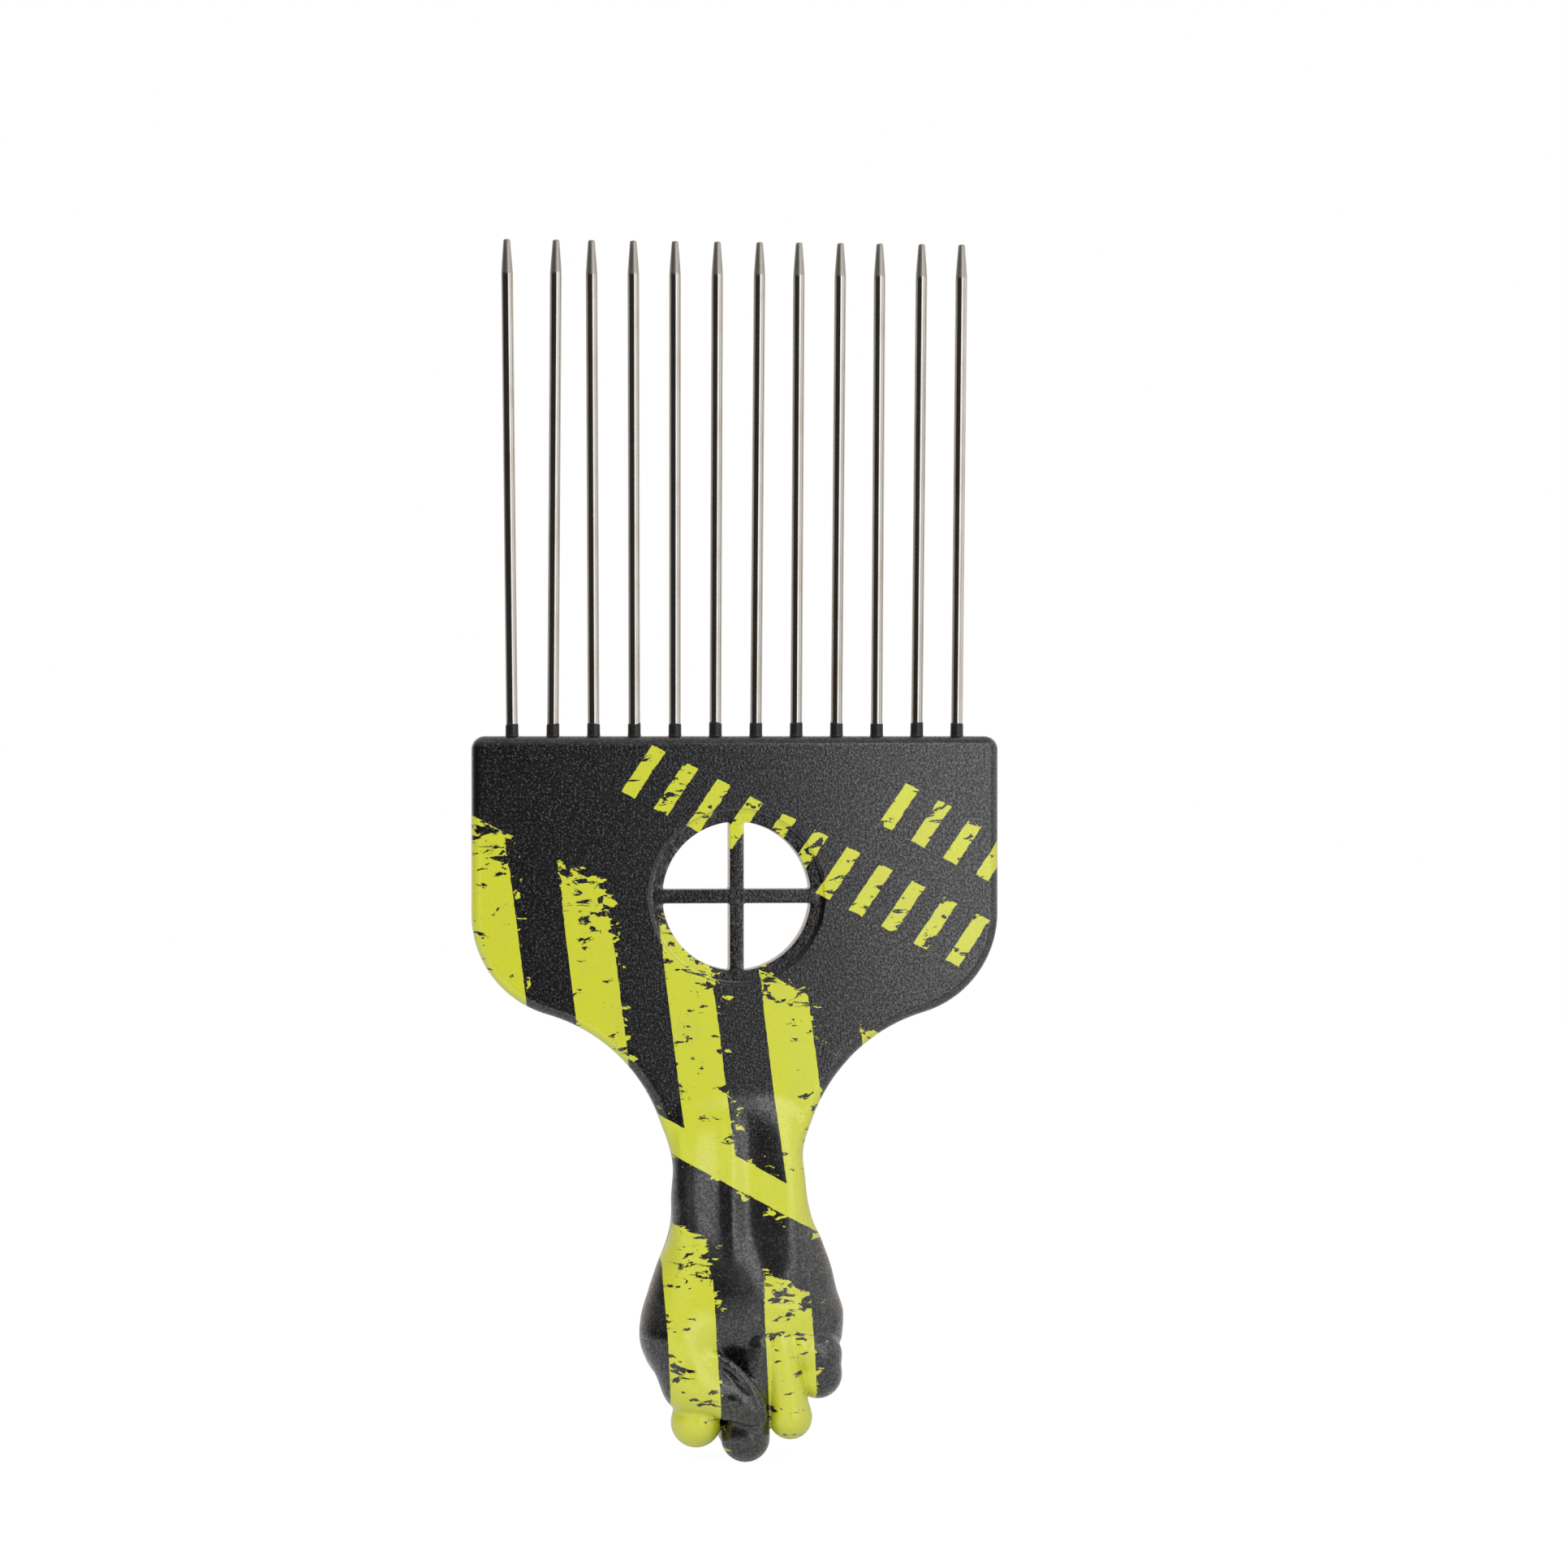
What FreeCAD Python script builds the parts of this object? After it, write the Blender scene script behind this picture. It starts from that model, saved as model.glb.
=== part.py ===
"""Afro pick: a row of straight steel teeth moulded into a flat handle that ends in a raised fist.

The part stands on the fist's lowest knuckle, with +Z along the teeth, +X to the right and the palm
towards -Y. The blade's mid-plane is y = 0 and its centre line is x = 0.
"""

import FreeCAD, Part
import math
import os

import Sketcher

Vector = FreeCAD.Vector

# Driving sizes in millimetres, angles in degrees.
SIZES = (
    ("blade_width", 74.6),
    ("blade_thickness", 5.0),
    ("blade_top", 102.3),
    ("blade_corner_radius", 1.9),
    ("blade_edge_round", 1.5),
    ("shoulder_height", 77.25),
    ("shoulder_radius", 14.75),
    ("neck_sweep_radius", 24.0),
    ("neck_width", 18.8),
    ("ring_height", 79.7),
    ("ring_opening", 21.0),
    ("ring_width", 1.9),
    ("ring_recess_depth", 0.6),
    ("ring_recess_slope", 25.0),
    ("cross_bar_width", 2.0),
    ("ejector_mark_depth", 0.12),
    ("tooth_row_margin", 5.73),
    ("tooth_diameter", 1.65),
    ("tooth_reach", 69.8),
    ("tooth_root", 11.0),
    ("tooth_taper", 4.8),
    ("tooth_tip_diameter", 0.95),
    ("anchor_groove_width", 1.2),
    ("anchor_groove_depth", 0.2),
    ("anchor_groove_inset", 3.0),
    ("fist_height", 41.0),
    ("forearm_run", 17.0),
    ("wrist_width", 19.5),
    ("wrist_depth", 10.4),
    ("palm_width", 28.9),
    ("fist_front", 8.8),
    ("fist_back", 8.8),
    ("finger_width", 6.8),
    ("thumb_width", 9.6),
)

TOOTH_COUNT = 12
TIP_ROUND_SHARE = 0.9
CROSS_ARMS = 4
EJECTOR_MARK_SHARE = 0.25
FULL_TURN = 360
PARALLEL_SHARE = 0.999

# Sections of the forearm where it rises out of the blade: height above the fist as a share of the
# forearm's run, centre as a share of the palm's width, width and depth as shares of the wrist's.
FOREARM_SHARES = (
    (1.00, 0.000, 0.62, 0.42),
    (0.50, 0.000, 0.88, 0.78),
    (0.00, 0.010, 1.00, 1.00),
)

# Sections of the hand from the wrist to the finger roots: height as a share of the fist's height, centre
# and width as shares of the palm's width, reach as shares of the fist's front and back.
PALM_SHARES = (
    (0.84, 0.028, 0.700, 0.66, 0.68),
    (0.67, 0.038, 0.865, 0.80, 0.80),
    (0.51, 0.024, 0.996, 0.88, 0.90),
    (0.36, 0.030, 0.900, 0.64, 0.92),
    (0.22, 0.024, 0.560, 0.36, 0.62),
)

# Fingers from first to last: centre as a share of the palm's width, width as a share of the finger width,
# lowest point, fingertip and knuckle as shares of the fist's height, reach as shares of its front and back.
FINGER_SHARES = (
    ("index_finger", -0.190, 1.07, 0.042, 0.460, 0.300, 0.72, 0.92),
    ("middle_finger", 0.040, 1.01, 0.000, 0.540, 0.290, 0.78, 1.00),
    ("ring_finger", 0.262, 0.97, 0.073, 0.508, 0.310, 0.82, 0.94),
    ("little_finger", 0.420, 0.90, 0.213, 0.480, 0.390, 0.68, 0.80),
)
FINGER_BEND_SHARE = 0.56
FINGER_RISE_SHARE = 0.36
FINGER_ROUND_SHARE = 0.84

# Joints of the thumb from its root to its tip: place as shares of the palm's width, the fist's front and
# the fist's height, thickness as a share of the thumb's width.
THUMB_SHARES = (
    (-0.270, -0.10, 0.640, 0.60),
    (-0.312, -0.26, 0.468, 1.00),
    (-0.218, -0.36, 0.305, 1.16),
    (-0.066, -0.49, 0.240, 0.94),
    (0.056, -0.70, 0.185, 0.54),
)
THUMB_TIP_SHARE = 1.02

doc = FreeCAD.newDocument("afro_pick")
sheet = doc.addObject("Spreadsheet::Sheet", "Sizes")
for row, (alias, value) in enumerate(SIZES, start=1):
    sheet.set(f"A{row}", alias)
    sheet.set(f"B{row}", str(value))
    sheet.setAlias(f"B{row}", alias)
doc.recompute()


def size(alias):
    """Give the value of one driving size."""
    return float(sheet.get(alias))


def bind(item, expressions):
    """Bind properties of an object to expressions over the sheet."""
    for name, expression in expressions.items():
        item.setExpression(name, expression)


def origin_plane(body, role):
    """Find one of a body's own origin planes by its role."""
    return next(item for item in body.Origin.OriginFeatures if item.Role == role)


def sketch_on(body, role, name, offsets=None):
    """Add a sketch on one of a body's origin planes, moved by bound offsets within that plane's frame."""
    sketch = body.newObject("Sketcher::SketchObject", name)
    sketch.AttachmentSupport = [(origin_plane(body, role), "")]
    sketch.MapMode = "FlatFace"
    bind(sketch, {f"AttachmentOffset.Base.{axis}": text for axis, text in (offsets or {}).items()})
    return sketch


def fix(sketch, kind, *where, to=None, drawn=1.0):
    """Add a constraint to a sketch, bound from its drawn value to an expression where it measures something."""
    start = (drawn,) if to else ()
    index = sketch.addConstraint(Sketcher.Constraint(kind, *where, *start))
    if to:
        sketch.setExpression(f"Constraints[{index}]", to)


def outline(sketch, corners):
    """Draw a closed outline of straight lines whose corners are bound to pairs of expressions."""
    count = len(corners)
    for index in range(count):
        start = Vector(index, index * index, 0)
        after = (index + 1) % count
        sketch.addGeometry(Part.LineSegment(start, Vector(after, after * after, 0)))
    for index, (across, up) in enumerate(corners):
        fix(sketch, "Coincident", index - 1 if index else count - 1, 2, index, 1)
        for kind, axis, text in (("DistanceX", -2, across), ("DistanceY", -1, up)):
            if text == "0":
                fix(sketch, "PointOnObject", index, 1, axis)
            elif text.startswith("-"):
                fix(sketch, kind, index, 1, -1, 1, to=text[1:])
            else:
                fix(sketch, kind, -1, 1, index, 1, to=text)


def pad(body, sketch, name, thickness):
    """Pad a sketch to both sides of its plane."""
    feature = body.newObject("PartDesign::Pad", name)
    feature.Profile = sketch
    feature.SideType = "Symmetric"
    bind(feature, {"Length": thickness})
    doc.recompute()
    return feature


def pocket(body, sketch, name, depth, sides="One side"):
    """Cut a sketch into the body behind it."""
    before = body.Shape.Volume
    feature = body.newObject("PartDesign::Pocket", name)
    feature.Profile = sketch
    feature.SideType = sides
    bind(feature, {"Length": depth})
    doc.recompute()
    if body.Shape.Volume >= before:
        raise RuntimeError(f"{name} cuts nothing")
    return feature


def pattern(body, kind, feature, settings):
    """Repeat a feature of the body and make the repeat its tip."""
    repeat = body.newObject(f"PartDesign::{kind}", f"{feature.Name}_{kind.lower()}")
    repeat.Originals = [feature]
    for name, setting in settings.items():
        setattr(repeat, name, setting)
    body.Tip = repeat
    doc.recompute()
    return repeat


def round_off(body, base, kind, chosen, name, radius):
    """Round the edges, or all edges of the faces, of a feature that a test picks."""
    items = base.Shape.Edges if kind == "Edge" else base.Shape.Faces
    names = [f"{kind}{index}" for index, item in enumerate(items, start=1) if chosen(item)]
    feature = body.newObject("PartDesign::Fillet", name)
    feature.Base = (base, names)
    bind(feature, {"Radius": radius})
    doc.recompute()
    return feature


def faces_along(axis):
    """Make a test for flat faces that look along an axis."""
    def chosen(face):
        return isinstance(face.Surface, Part.Plane) and abs(face.normalAt(0, 0).dot(axis)) > PARALLEL_SHARE

    return chosen


def faces_above(height):
    """Make a test for level faces that lie above a height."""
    def chosen(face):
        return isinstance(face.Surface, Part.Plane) and face.CenterOfMass.z > height

    return chosen


def edge_along(axis):
    """Make a test for straight edges that run along an axis."""
    def chosen(edge):
        return isinstance(edge.Curve, Part.Line) and abs(edge.Curve.Direction.dot(axis)) > PARALLEL_SHARE

    return chosen


def make_blade():
    """Build the flat blade with its rounded edges, its swept neck and the ring with a cross in it."""
    body = doc.addObject("PartDesign::Body", "blade")
    draw_half_outline(sketch_on(body, "XZ_Plane", "blade_outline"))
    half = pad(body, doc.blade_outline, "half_blade", "Sizes.blade_thickness")
    whole = pattern(body, "Mirrored", half, {"MirrorPlane": (origin_plane(body, "YZ_Plane"), [""])})
    round_off(body, whole, "Face", faces_along(Vector(0, 1, 0)), "blade_edges", "Sizes.blade_edge_round")
    cut_ring(body)
    return body


def draw_half_outline(sketch):
    """Draw the right half of the blade: top, corner, side, shoulder and the sweep into the neck."""
    half = size("blade_width") / 2
    top = size("blade_top")
    corner = size("blade_corner_radius")
    shoulder = Vector(half - size("shoulder_radius"), size("shoulder_height"), 0)
    reach = size("shoulder_radius") + size("neck_sweep_radius")
    across = size("neck_width") / 2 + size("neck_sweep_radius") - shoulder.x
    drop = math.sqrt(reach**2 - across**2)
    sweep = shoulder + Vector(across, -drop, 0)
    turn = math.atan2(drop, across)
    neck = Vector(size("neck_width") / 2, sweep.y, 0)

    def line(start, end):
        return sketch.addGeometry(Part.LineSegment(start, end))

    def arc(centre, radius, start, end):
        circle = Part.Circle(centre, Vector(0, 0, 1), radius)
        return sketch.addGeometry(Part.ArcOfCircle(circle, start, end))

    edge_top = line(Vector(0, top, 0), Vector(half - corner, top, 0))
    corner_arc = arc(Vector(half - corner, top - corner, 0), corner, 0, math.pi / 2)
    side = line(Vector(half, top - corner, 0), Vector(half, shoulder.y, 0))
    shoulder_arc = arc(shoulder, size("shoulder_radius"), -turn, 0)
    sweep_arc = arc(sweep, size("neck_sweep_radius"), math.pi - turn, math.pi)
    neck_line = line(neck, Vector(0, neck.y, 0))
    middle = line(Vector(0, neck.y, 0), Vector(0, top, 0))

    fix(sketch, "Tangent", edge_top, 2, corner_arc, 2)
    fix(sketch, "Tangent", corner_arc, 1, side, 1)
    fix(sketch, "Tangent", side, 2, shoulder_arc, 2)
    fix(sketch, "Tangent", shoulder_arc, 1, sweep_arc, 1)
    fix(sketch, "Coincident", sweep_arc, 2, neck_line, 1)
    fix(sketch, "Horizontal", sweep_arc, 3, sweep_arc, 2)
    fix(sketch, "Horizontal", neck_line)
    fix(sketch, "Coincident", neck_line, 2, middle, 1)
    fix(sketch, "Coincident", middle, 2, edge_top, 1)
    fix(sketch, "Horizontal", edge_top)
    fix(sketch, "Vertical", side)
    fix(sketch, "PointOnObject", middle, 1, -2)
    fix(sketch, "PointOnObject", middle, 2, -2)
    fix(sketch, "DistanceY", -1, 1, edge_top, 1, to="Sizes.blade_top", drawn=top)
    fix(sketch, "DistanceX", -1, 1, side, 1, to="Sizes.blade_width / 2", drawn=half)
    fix(sketch, "DistanceY", -1, 1, side, 2, to="Sizes.shoulder_height", drawn=shoulder.y)
    fix(sketch, "DistanceX", -1, 1, neck_line, 1, to="Sizes.neck_width / 2", drawn=neck.x)
    fix(sketch, "Radius", corner_arc, to="Sizes.blade_corner_radius", drawn=corner)
    fix(sketch, "Radius", shoulder_arc, to="Sizes.shoulder_radius", drawn=size("shoulder_radius"))
    fix(sketch, "Radius", sweep_arc, to="Sizes.neck_sweep_radius", drawn=size("neck_sweep_radius"))


def cut_ring(body):
    """Sink a round recess into both faces and open it into four quarters round a cross."""
    face = "Sizes.blade_thickness / 2"
    floor = f"{face} - Sizes.ring_recess_depth"

    rim = sketch_on(body, "XZ_Plane", "recess_rim", {"y": "Sizes.ring_height", "z": face})
    rim.addGeometry(Part.Circle(Vector(0, 0, 0), Vector(0, 0, 1), 1))
    fix(rim, "Coincident", 0, 3, -1, 1)
    fix(rim, "Radius", 0, to="Sizes.ring_opening / 2 + Sizes.ring_width")
    recess = pocket(body, rim, "recess", "Sizes.ring_recess_depth")
    bind(recess, {"TaperAngle": "-Sizes.ring_recess_slope"})
    pattern(body, "Mirrored", recess, {"MirrorPlane": (origin_plane(body, "XZ_Plane"), [""])})

    quarter = sketch_on(body, "XZ_Plane", "quarter", {"y": "Sizes.ring_height"})
    draw_quarter(quarter)
    opening = pocket(body, quarter, "opening", "Sizes.blade_thickness", "Symmetric")
    turned = {"Axis": (quarter, ["N_Axis"]), "Angle": FULL_TURN, "Occurrences": CROSS_ARMS}
    pattern(body, "PolarPattern", opening, turned)

    mark = sketch_on(body, "XZ_Plane", "ejector_mark", {"y": "Sizes.ring_height", "z": floor})
    mark.addGeometry(Part.Circle(Vector(1, 0, 0), Vector(0, 0, 1), 1))
    fix(mark, "PointOnObject", 0, 3, -1)
    fix(mark, "DistanceX", -1, 1, 0, 3, to=f"Sizes.ring_opening / 2 + Sizes.ring_width * {EJECTOR_MARK_SHARE}")
    fix(mark, "Diameter", 0, to="Sizes.cross_bar_width")
    dent = pocket(body, mark, "dent", "Sizes.ejector_mark_depth")
    turned = {"Axis": (mark, ["N_Axis"]), "Angle": FULL_TURN, "Occurrences": CROSS_ARMS}
    pattern(body, "PolarPattern", dent, turned)


def draw_quarter(sketch):
    """Draw one quarter of the ring's opening, bounded by two bars of the cross."""
    radius = size("ring_opening") / 2
    bar = size("cross_bar_width") / 2
    far = math.sqrt(radius**2 - bar**2)
    turn = math.atan2(bar, far)
    low = sketch.addGeometry(Part.LineSegment(Vector(bar, bar, 0), Vector(far, bar, 0)))
    circle = Part.Circle(Vector(0, 0, 0), Vector(0, 0, 1), radius)
    rim = sketch.addGeometry(Part.ArcOfCircle(circle, turn, math.pi / 2 - turn))
    left = sketch.addGeometry(Part.LineSegment(Vector(bar, far, 0), Vector(bar, bar, 0)))
    fix(sketch, "Coincident", low, 2, rim, 1)
    fix(sketch, "Coincident", rim, 2, left, 1)
    fix(sketch, "Coincident", left, 2, low, 1)
    fix(sketch, "Coincident", rim, 3, -1, 1)
    fix(sketch, "Horizontal", low)
    fix(sketch, "Vertical", left)
    fix(sketch, "DistanceX", -1, 1, low, 1, to="Sizes.cross_bar_width / 2", drawn=bar)
    fix(sketch, "DistanceY", -1, 1, low, 1, to="Sizes.cross_bar_width / 2", drawn=bar)
    fix(sketch, "Radius", rim, to="Sizes.ring_opening / 2", drawn=radius)


def make_palm():
    """Loft the forearm, wrist and palm through upright ellipses."""
    rows = []
    for up, centre, wide, deep in FOREARM_SHARES:
        reach = f"Sizes.wrist_depth * {deep} / 2"
        height = f"Sizes.fist_height + Sizes.forearm_run * {up}"
        rows.append((height, centre, f"Sizes.wrist_width * {wide}", reach, reach))
    for up, centre, wide, front, back in PALM_SHARES:
        height = f"Sizes.fist_height * {up}"
        reach = (f"Sizes.fist_front * {front}", f"Sizes.fist_back * {back}")
        rows.append((height, centre, f"Sizes.palm_width * {wide}", *reach))
    sections = []
    for number, (height, centre, width, front, back) in enumerate(rows, start=1):
        section = doc.addObject("Part::Ellipse", f"palm_section_{number}")
        bind(section, {"MajorRadius": f"{width} / 2", "MinorRadius": f"({front} + {back}) / 2",
                       "Placement.Base.x": f"Sizes.palm_width * {centre}",
                       "Placement.Base.y": f"({back} - {front}) / 2", "Placement.Base.z": height})
        sections.append(section)
    return loft("palm", sections)


def make_thumb():
    """Loft the thumb through its joints and close it with a round tip."""
    sections = []
    for number, (across, forward, up, thick) in enumerate(THUMB_SHARES, start=1):
        section = doc.addObject("Part::Circle", f"thumb_section_{number}")
        bind(section, {"Radius": f"Sizes.thumb_width * {thick} / 2",
                       "Placement.Base.x": f"Sizes.palm_width * {across}",
                       "Placement.Base.y": f"Sizes.fist_front * {forward}",
                       "Placement.Base.z": f"Sizes.fist_height * {up}"})
        sections.append(section)
    doc.recompute()
    places = [section.Placement.Base for section in sections]
    for index, section in enumerate(sections):
        along = places[min(index + 1, len(places) - 1)] - places[max(index - 1, 0)]
        section.Placement.Rotation = FreeCAD.Rotation(Vector(0, 0, -1), along)
    thumb = loft("thumb", sections)
    tip = doc.addObject("Part::Sphere", "thumb_tip")
    across, forward, up, thick = THUMB_SHARES[-1]
    bind(tip, {"Radius": f"Sizes.thumb_width * {thick * THUMB_TIP_SHARE} / 2",
               "Placement.Base.x": f"Sizes.palm_width * {across}",
               "Placement.Base.y": f"Sizes.fist_front * {forward}",
               "Placement.Base.z": f"Sizes.fist_height * {up}"})
    return [thumb, tip]


def loft(name, sections):
    """Loft a closed solid through a row of closed sections."""
    solid = doc.addObject("Part::Loft", name)
    solid.Sections = sections
    solid.Solid = True
    doc.recompute()
    return solid


def make_finger(name, centre, wide, low, tip, knuckle, front, back):
    """Build one bent finger: its side view padded to its width, with round bends and a round section."""
    body = doc.addObject("PartDesign::Body", name)
    width = f"Sizes.finger_width * {wide}"
    bend = f"min({width} * {FINGER_BEND_SHARE}; Sizes.fist_height * {(tip - low) * FINGER_RISE_SHARE})"
    profile = sketch_on(body, "YZ_Plane", f"{name}_profile", {"z": f"Sizes.palm_width * {centre}"})
    bottom = f"Sizes.fist_height * {low}" if low else "0"
    outline(profile, (
        (f"-Sizes.fist_front * {front}", bottom),
        (f"Sizes.fist_back * {back}", bottom),
        (f"Sizes.fist_back * {back}", f"Sizes.fist_height * {knuckle}"),
        (f"-Sizes.fist_front * {front}", f"Sizes.fist_height * {tip}"),
    ))
    slab = pad(body, profile, f"{name}_slab", width)
    bends = round_off(body, slab, "Edge", edge_along(Vector(1, 0, 0)), f"{name}_bends", bend)
    round_off(body, bends, "Face", faces_along(Vector(1, 0, 0)), f"{name}_round",
              f"{bend} * {FINGER_ROUND_SHARE}")
    return body


def make_tooth(number):
    """Turn one tooth: a wire with a grooved root, a straight shank, a ground taper and a round end."""
    name = f"tooth_{number:02d}"
    body = doc.addObject("PartDesign::Body", name)
    radius = "Sizes.tooth_diameter / 2"
    foot = "Sizes.blade_top - Sizes.tooth_root"
    tip = "Sizes.blade_top + Sizes.tooth_reach"
    groove = f"{foot} + Sizes.anchor_groove_inset"
    profile = sketch_on(body, "XZ_Plane", f"{name}_profile")
    outline(profile, (
        ("0", foot),
        (radius, foot),
        (radius, groove),
        (f"{radius} - Sizes.anchor_groove_depth", groove),
        (f"{radius} - Sizes.anchor_groove_depth", f"{groove} + Sizes.anchor_groove_width"),
        (radius, f"{groove} + Sizes.anchor_groove_width"),
        (radius, f"{tip} - Sizes.tooth_taper"),
        ("Sizes.tooth_tip_diameter / 2", tip),
        ("0", tip),
    ))
    wire = body.newObject("PartDesign::Revolution", f"{name}_wire")
    wire.Profile = profile
    wire.ReferenceAxis = (profile, ["V_Axis"])
    doc.recompute()
    round_off(body, wire, "Face", faces_above(size("blade_top")), f"{name}_end",
              f"Sizes.tooth_tip_diameter / 2 * {TIP_ROUND_SHARE}")
    place = (number - (TOOTH_COUNT + 1) / 2) / (TOOTH_COUNT - 1)
    bind(body, {"Placement.Base.x": f"(Sizes.blade_width - 2 * Sizes.tooth_row_margin) * {place}"})
    return body


def make_handle(teeth):
    """Join blade and hand into one moulding and leave room in it for the roots of the teeth."""
    hand = [make_palm()]
    hand += make_thumb()
    hand += [make_finger(*shares) for shares in FINGER_SHARES]
    moulding = doc.addObject("Part::MultiFuse", "moulding")
    moulding.Shapes = [make_blade()] + hand
    wires = doc.addObject("Part::Compound", "wires")
    wires.Links = teeth
    handle = doc.addObject("Part::Cut", "handle")
    handle.Base = moulding
    handle.Tool = wires
    doc.recompute()
    return handle


def write_parts(pieces):
    """Check every object and write each piece as its own file."""
    for item in doc.Objects:
        if "Invalid" in item.State or "Error" in item.State:
            raise RuntimeError(f"{item.Name} failed: {item.State}")
    for piece in pieces:
        shape = piece.Shape
        if shape.isNull() or not shape.isValid() or len(shape.Solids) != 1:
            raise RuntimeError(f"{piece.Label} is not one valid solid")
    os.makedirs("parts", exist_ok=True)
    for piece in pieces:
        piece.Shape.exportStep(f"parts/{piece.Label}.step")
        box = piece.Shape.BoundBox
        print(f"{piece.Label}: {piece.Shape.Volume:.1f} mm3, x {box.XMin:.2f} to {box.XMax:.2f},"
              f" y {box.YMin:.2f} to {box.YMax:.2f}, z {box.ZMin:.2f} to {box.ZMax:.2f}")


teeth = [make_tooth(number) for number in range(1, TOOTH_COUNT + 1)]
write_parts([make_handle(teeth)] + teeth)
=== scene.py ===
"""Looks of an afro pick: a row of steel teeth in a printed black moulding that ends in a fist.

Every form is laid out in millimetres in the part's own frame, with the palm towards -Y and the teeth along
+Z, and is turned into metres when its mesh is made.
"""

import logging
import math
from dataclasses import dataclass, field
from enum import Enum
from typing import Any, Callable, Sequence

import bmesh
import bpy
import numpy as np
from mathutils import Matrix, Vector
from mathutils.geometry import delaunay_2d_cdt


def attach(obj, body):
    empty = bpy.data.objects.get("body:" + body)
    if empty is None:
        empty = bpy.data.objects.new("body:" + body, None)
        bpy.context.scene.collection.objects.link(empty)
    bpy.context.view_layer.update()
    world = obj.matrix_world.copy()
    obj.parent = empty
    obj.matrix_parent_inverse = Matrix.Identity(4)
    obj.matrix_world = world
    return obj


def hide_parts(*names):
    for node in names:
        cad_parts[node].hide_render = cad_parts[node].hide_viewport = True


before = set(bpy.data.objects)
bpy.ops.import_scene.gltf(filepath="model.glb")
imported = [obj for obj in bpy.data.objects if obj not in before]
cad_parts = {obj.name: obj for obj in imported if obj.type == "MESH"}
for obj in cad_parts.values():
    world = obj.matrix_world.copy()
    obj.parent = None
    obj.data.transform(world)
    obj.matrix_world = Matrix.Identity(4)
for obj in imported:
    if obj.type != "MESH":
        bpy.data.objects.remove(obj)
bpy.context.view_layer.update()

MM = 0.001
BODY = "root"
WHITE = (1.0, 1.0, 1.0, 1.0)
LOG = logging.getLogger("afro_pick")

Row = tuple[float, ...]
Colour = tuple[float, float, float, float]
Field = Callable[[np.ndarray, np.ndarray, np.ndarray], np.ndarray]


class Slot(Enum):
    """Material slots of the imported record."""

    HANDLE = "handle"
    TEETH = "teeth"


class Side(Enum):
    """The two faces of the blade, by the sign of their y."""

    FRONT = -1
    BACK = 1


# Shader tools


class Signal:
    """A value socket that can be used in arithmetic, each step of which adds a Math node."""

    def __init__(self, bench: "Bench", socket: bpy.types.NodeSocket) -> None:
        """Wrap one output socket of a bench's node tree."""
        self.bench = bench
        self.socket = socket

    def __add__(self, other: "Signal | float") -> "Signal":
        """Add a value."""
        return self.bench.math("ADD", self, other)

    def __radd__(self, other: float) -> "Signal":
        """Add to a number."""
        return self.bench.math("ADD", other, self)

    def __sub__(self, other: "Signal | float") -> "Signal":
        """Subtract a value."""
        return self.bench.math("SUBTRACT", self, other)

    def __rsub__(self, other: float) -> "Signal":
        """Subtract from a number."""
        return self.bench.math("SUBTRACT", other, self)

    def __mul__(self, other: "Signal | float") -> "Signal":
        """Multiply by a value."""
        return self.bench.math("MULTIPLY", self, other)

    def __rmul__(self, other: float) -> "Signal":
        """Multiply a number."""
        return self.bench.math("MULTIPLY", other, self)

    def __truediv__(self, other: "Signal | float") -> "Signal":
        """Divide by a value."""
        return self.bench.math("DIVIDE", self, other)

    def __neg__(self) -> "Signal":
        """Turn the sign round."""
        return self.bench.math("MULTIPLY", self, -1.0)

    def __gt__(self, other: "Signal | float") -> "Signal":
        """Give 1 where the value is greater."""
        return self.bench.math("GREATER_THAN", self, other)

    def __abs__(self) -> "Signal":
        """Drop the sign."""
        return self.bench.math("ABSOLUTE", self)

    def fraction(self) -> "Signal":
        """Keep the part after the decimal point."""
        return self.bench.math("FRACT", self)

    def floor(self) -> "Signal":
        """Round down."""
        return self.bench.math("FLOOR", self)

    def at_least(self, other: "Signal | float") -> "Signal":
        """Give the greater of two values."""
        return self.bench.math("MAXIMUM", self, other)

    def at_most(self, other: "Signal | float") -> "Signal":
        """Give the lesser of two values."""
        return self.bench.math("MINIMUM", self, other)

    def ramp(self, low: float, high: float, start: float = 0.0, end: float = 1.0) -> "Signal":
        """Map a range smoothly onto another.

        Args:
            low: Value that maps to start.
            high: Value that maps to end.
            start: Result at and beyond low.
            end: Result at and beyond high.

        Returns:
            The mapped value.
        """
        node = self.bench.node(
            "ShaderNodeMapRange",
            {"interpolation_type": "SMOOTHSTEP", "clamp": True},
            {"Value": self, "From Min": low, "From Max": high, "To Min": start, "To Max": end},
        )
        return Signal(self.bench, node.outputs["Result"])


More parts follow.
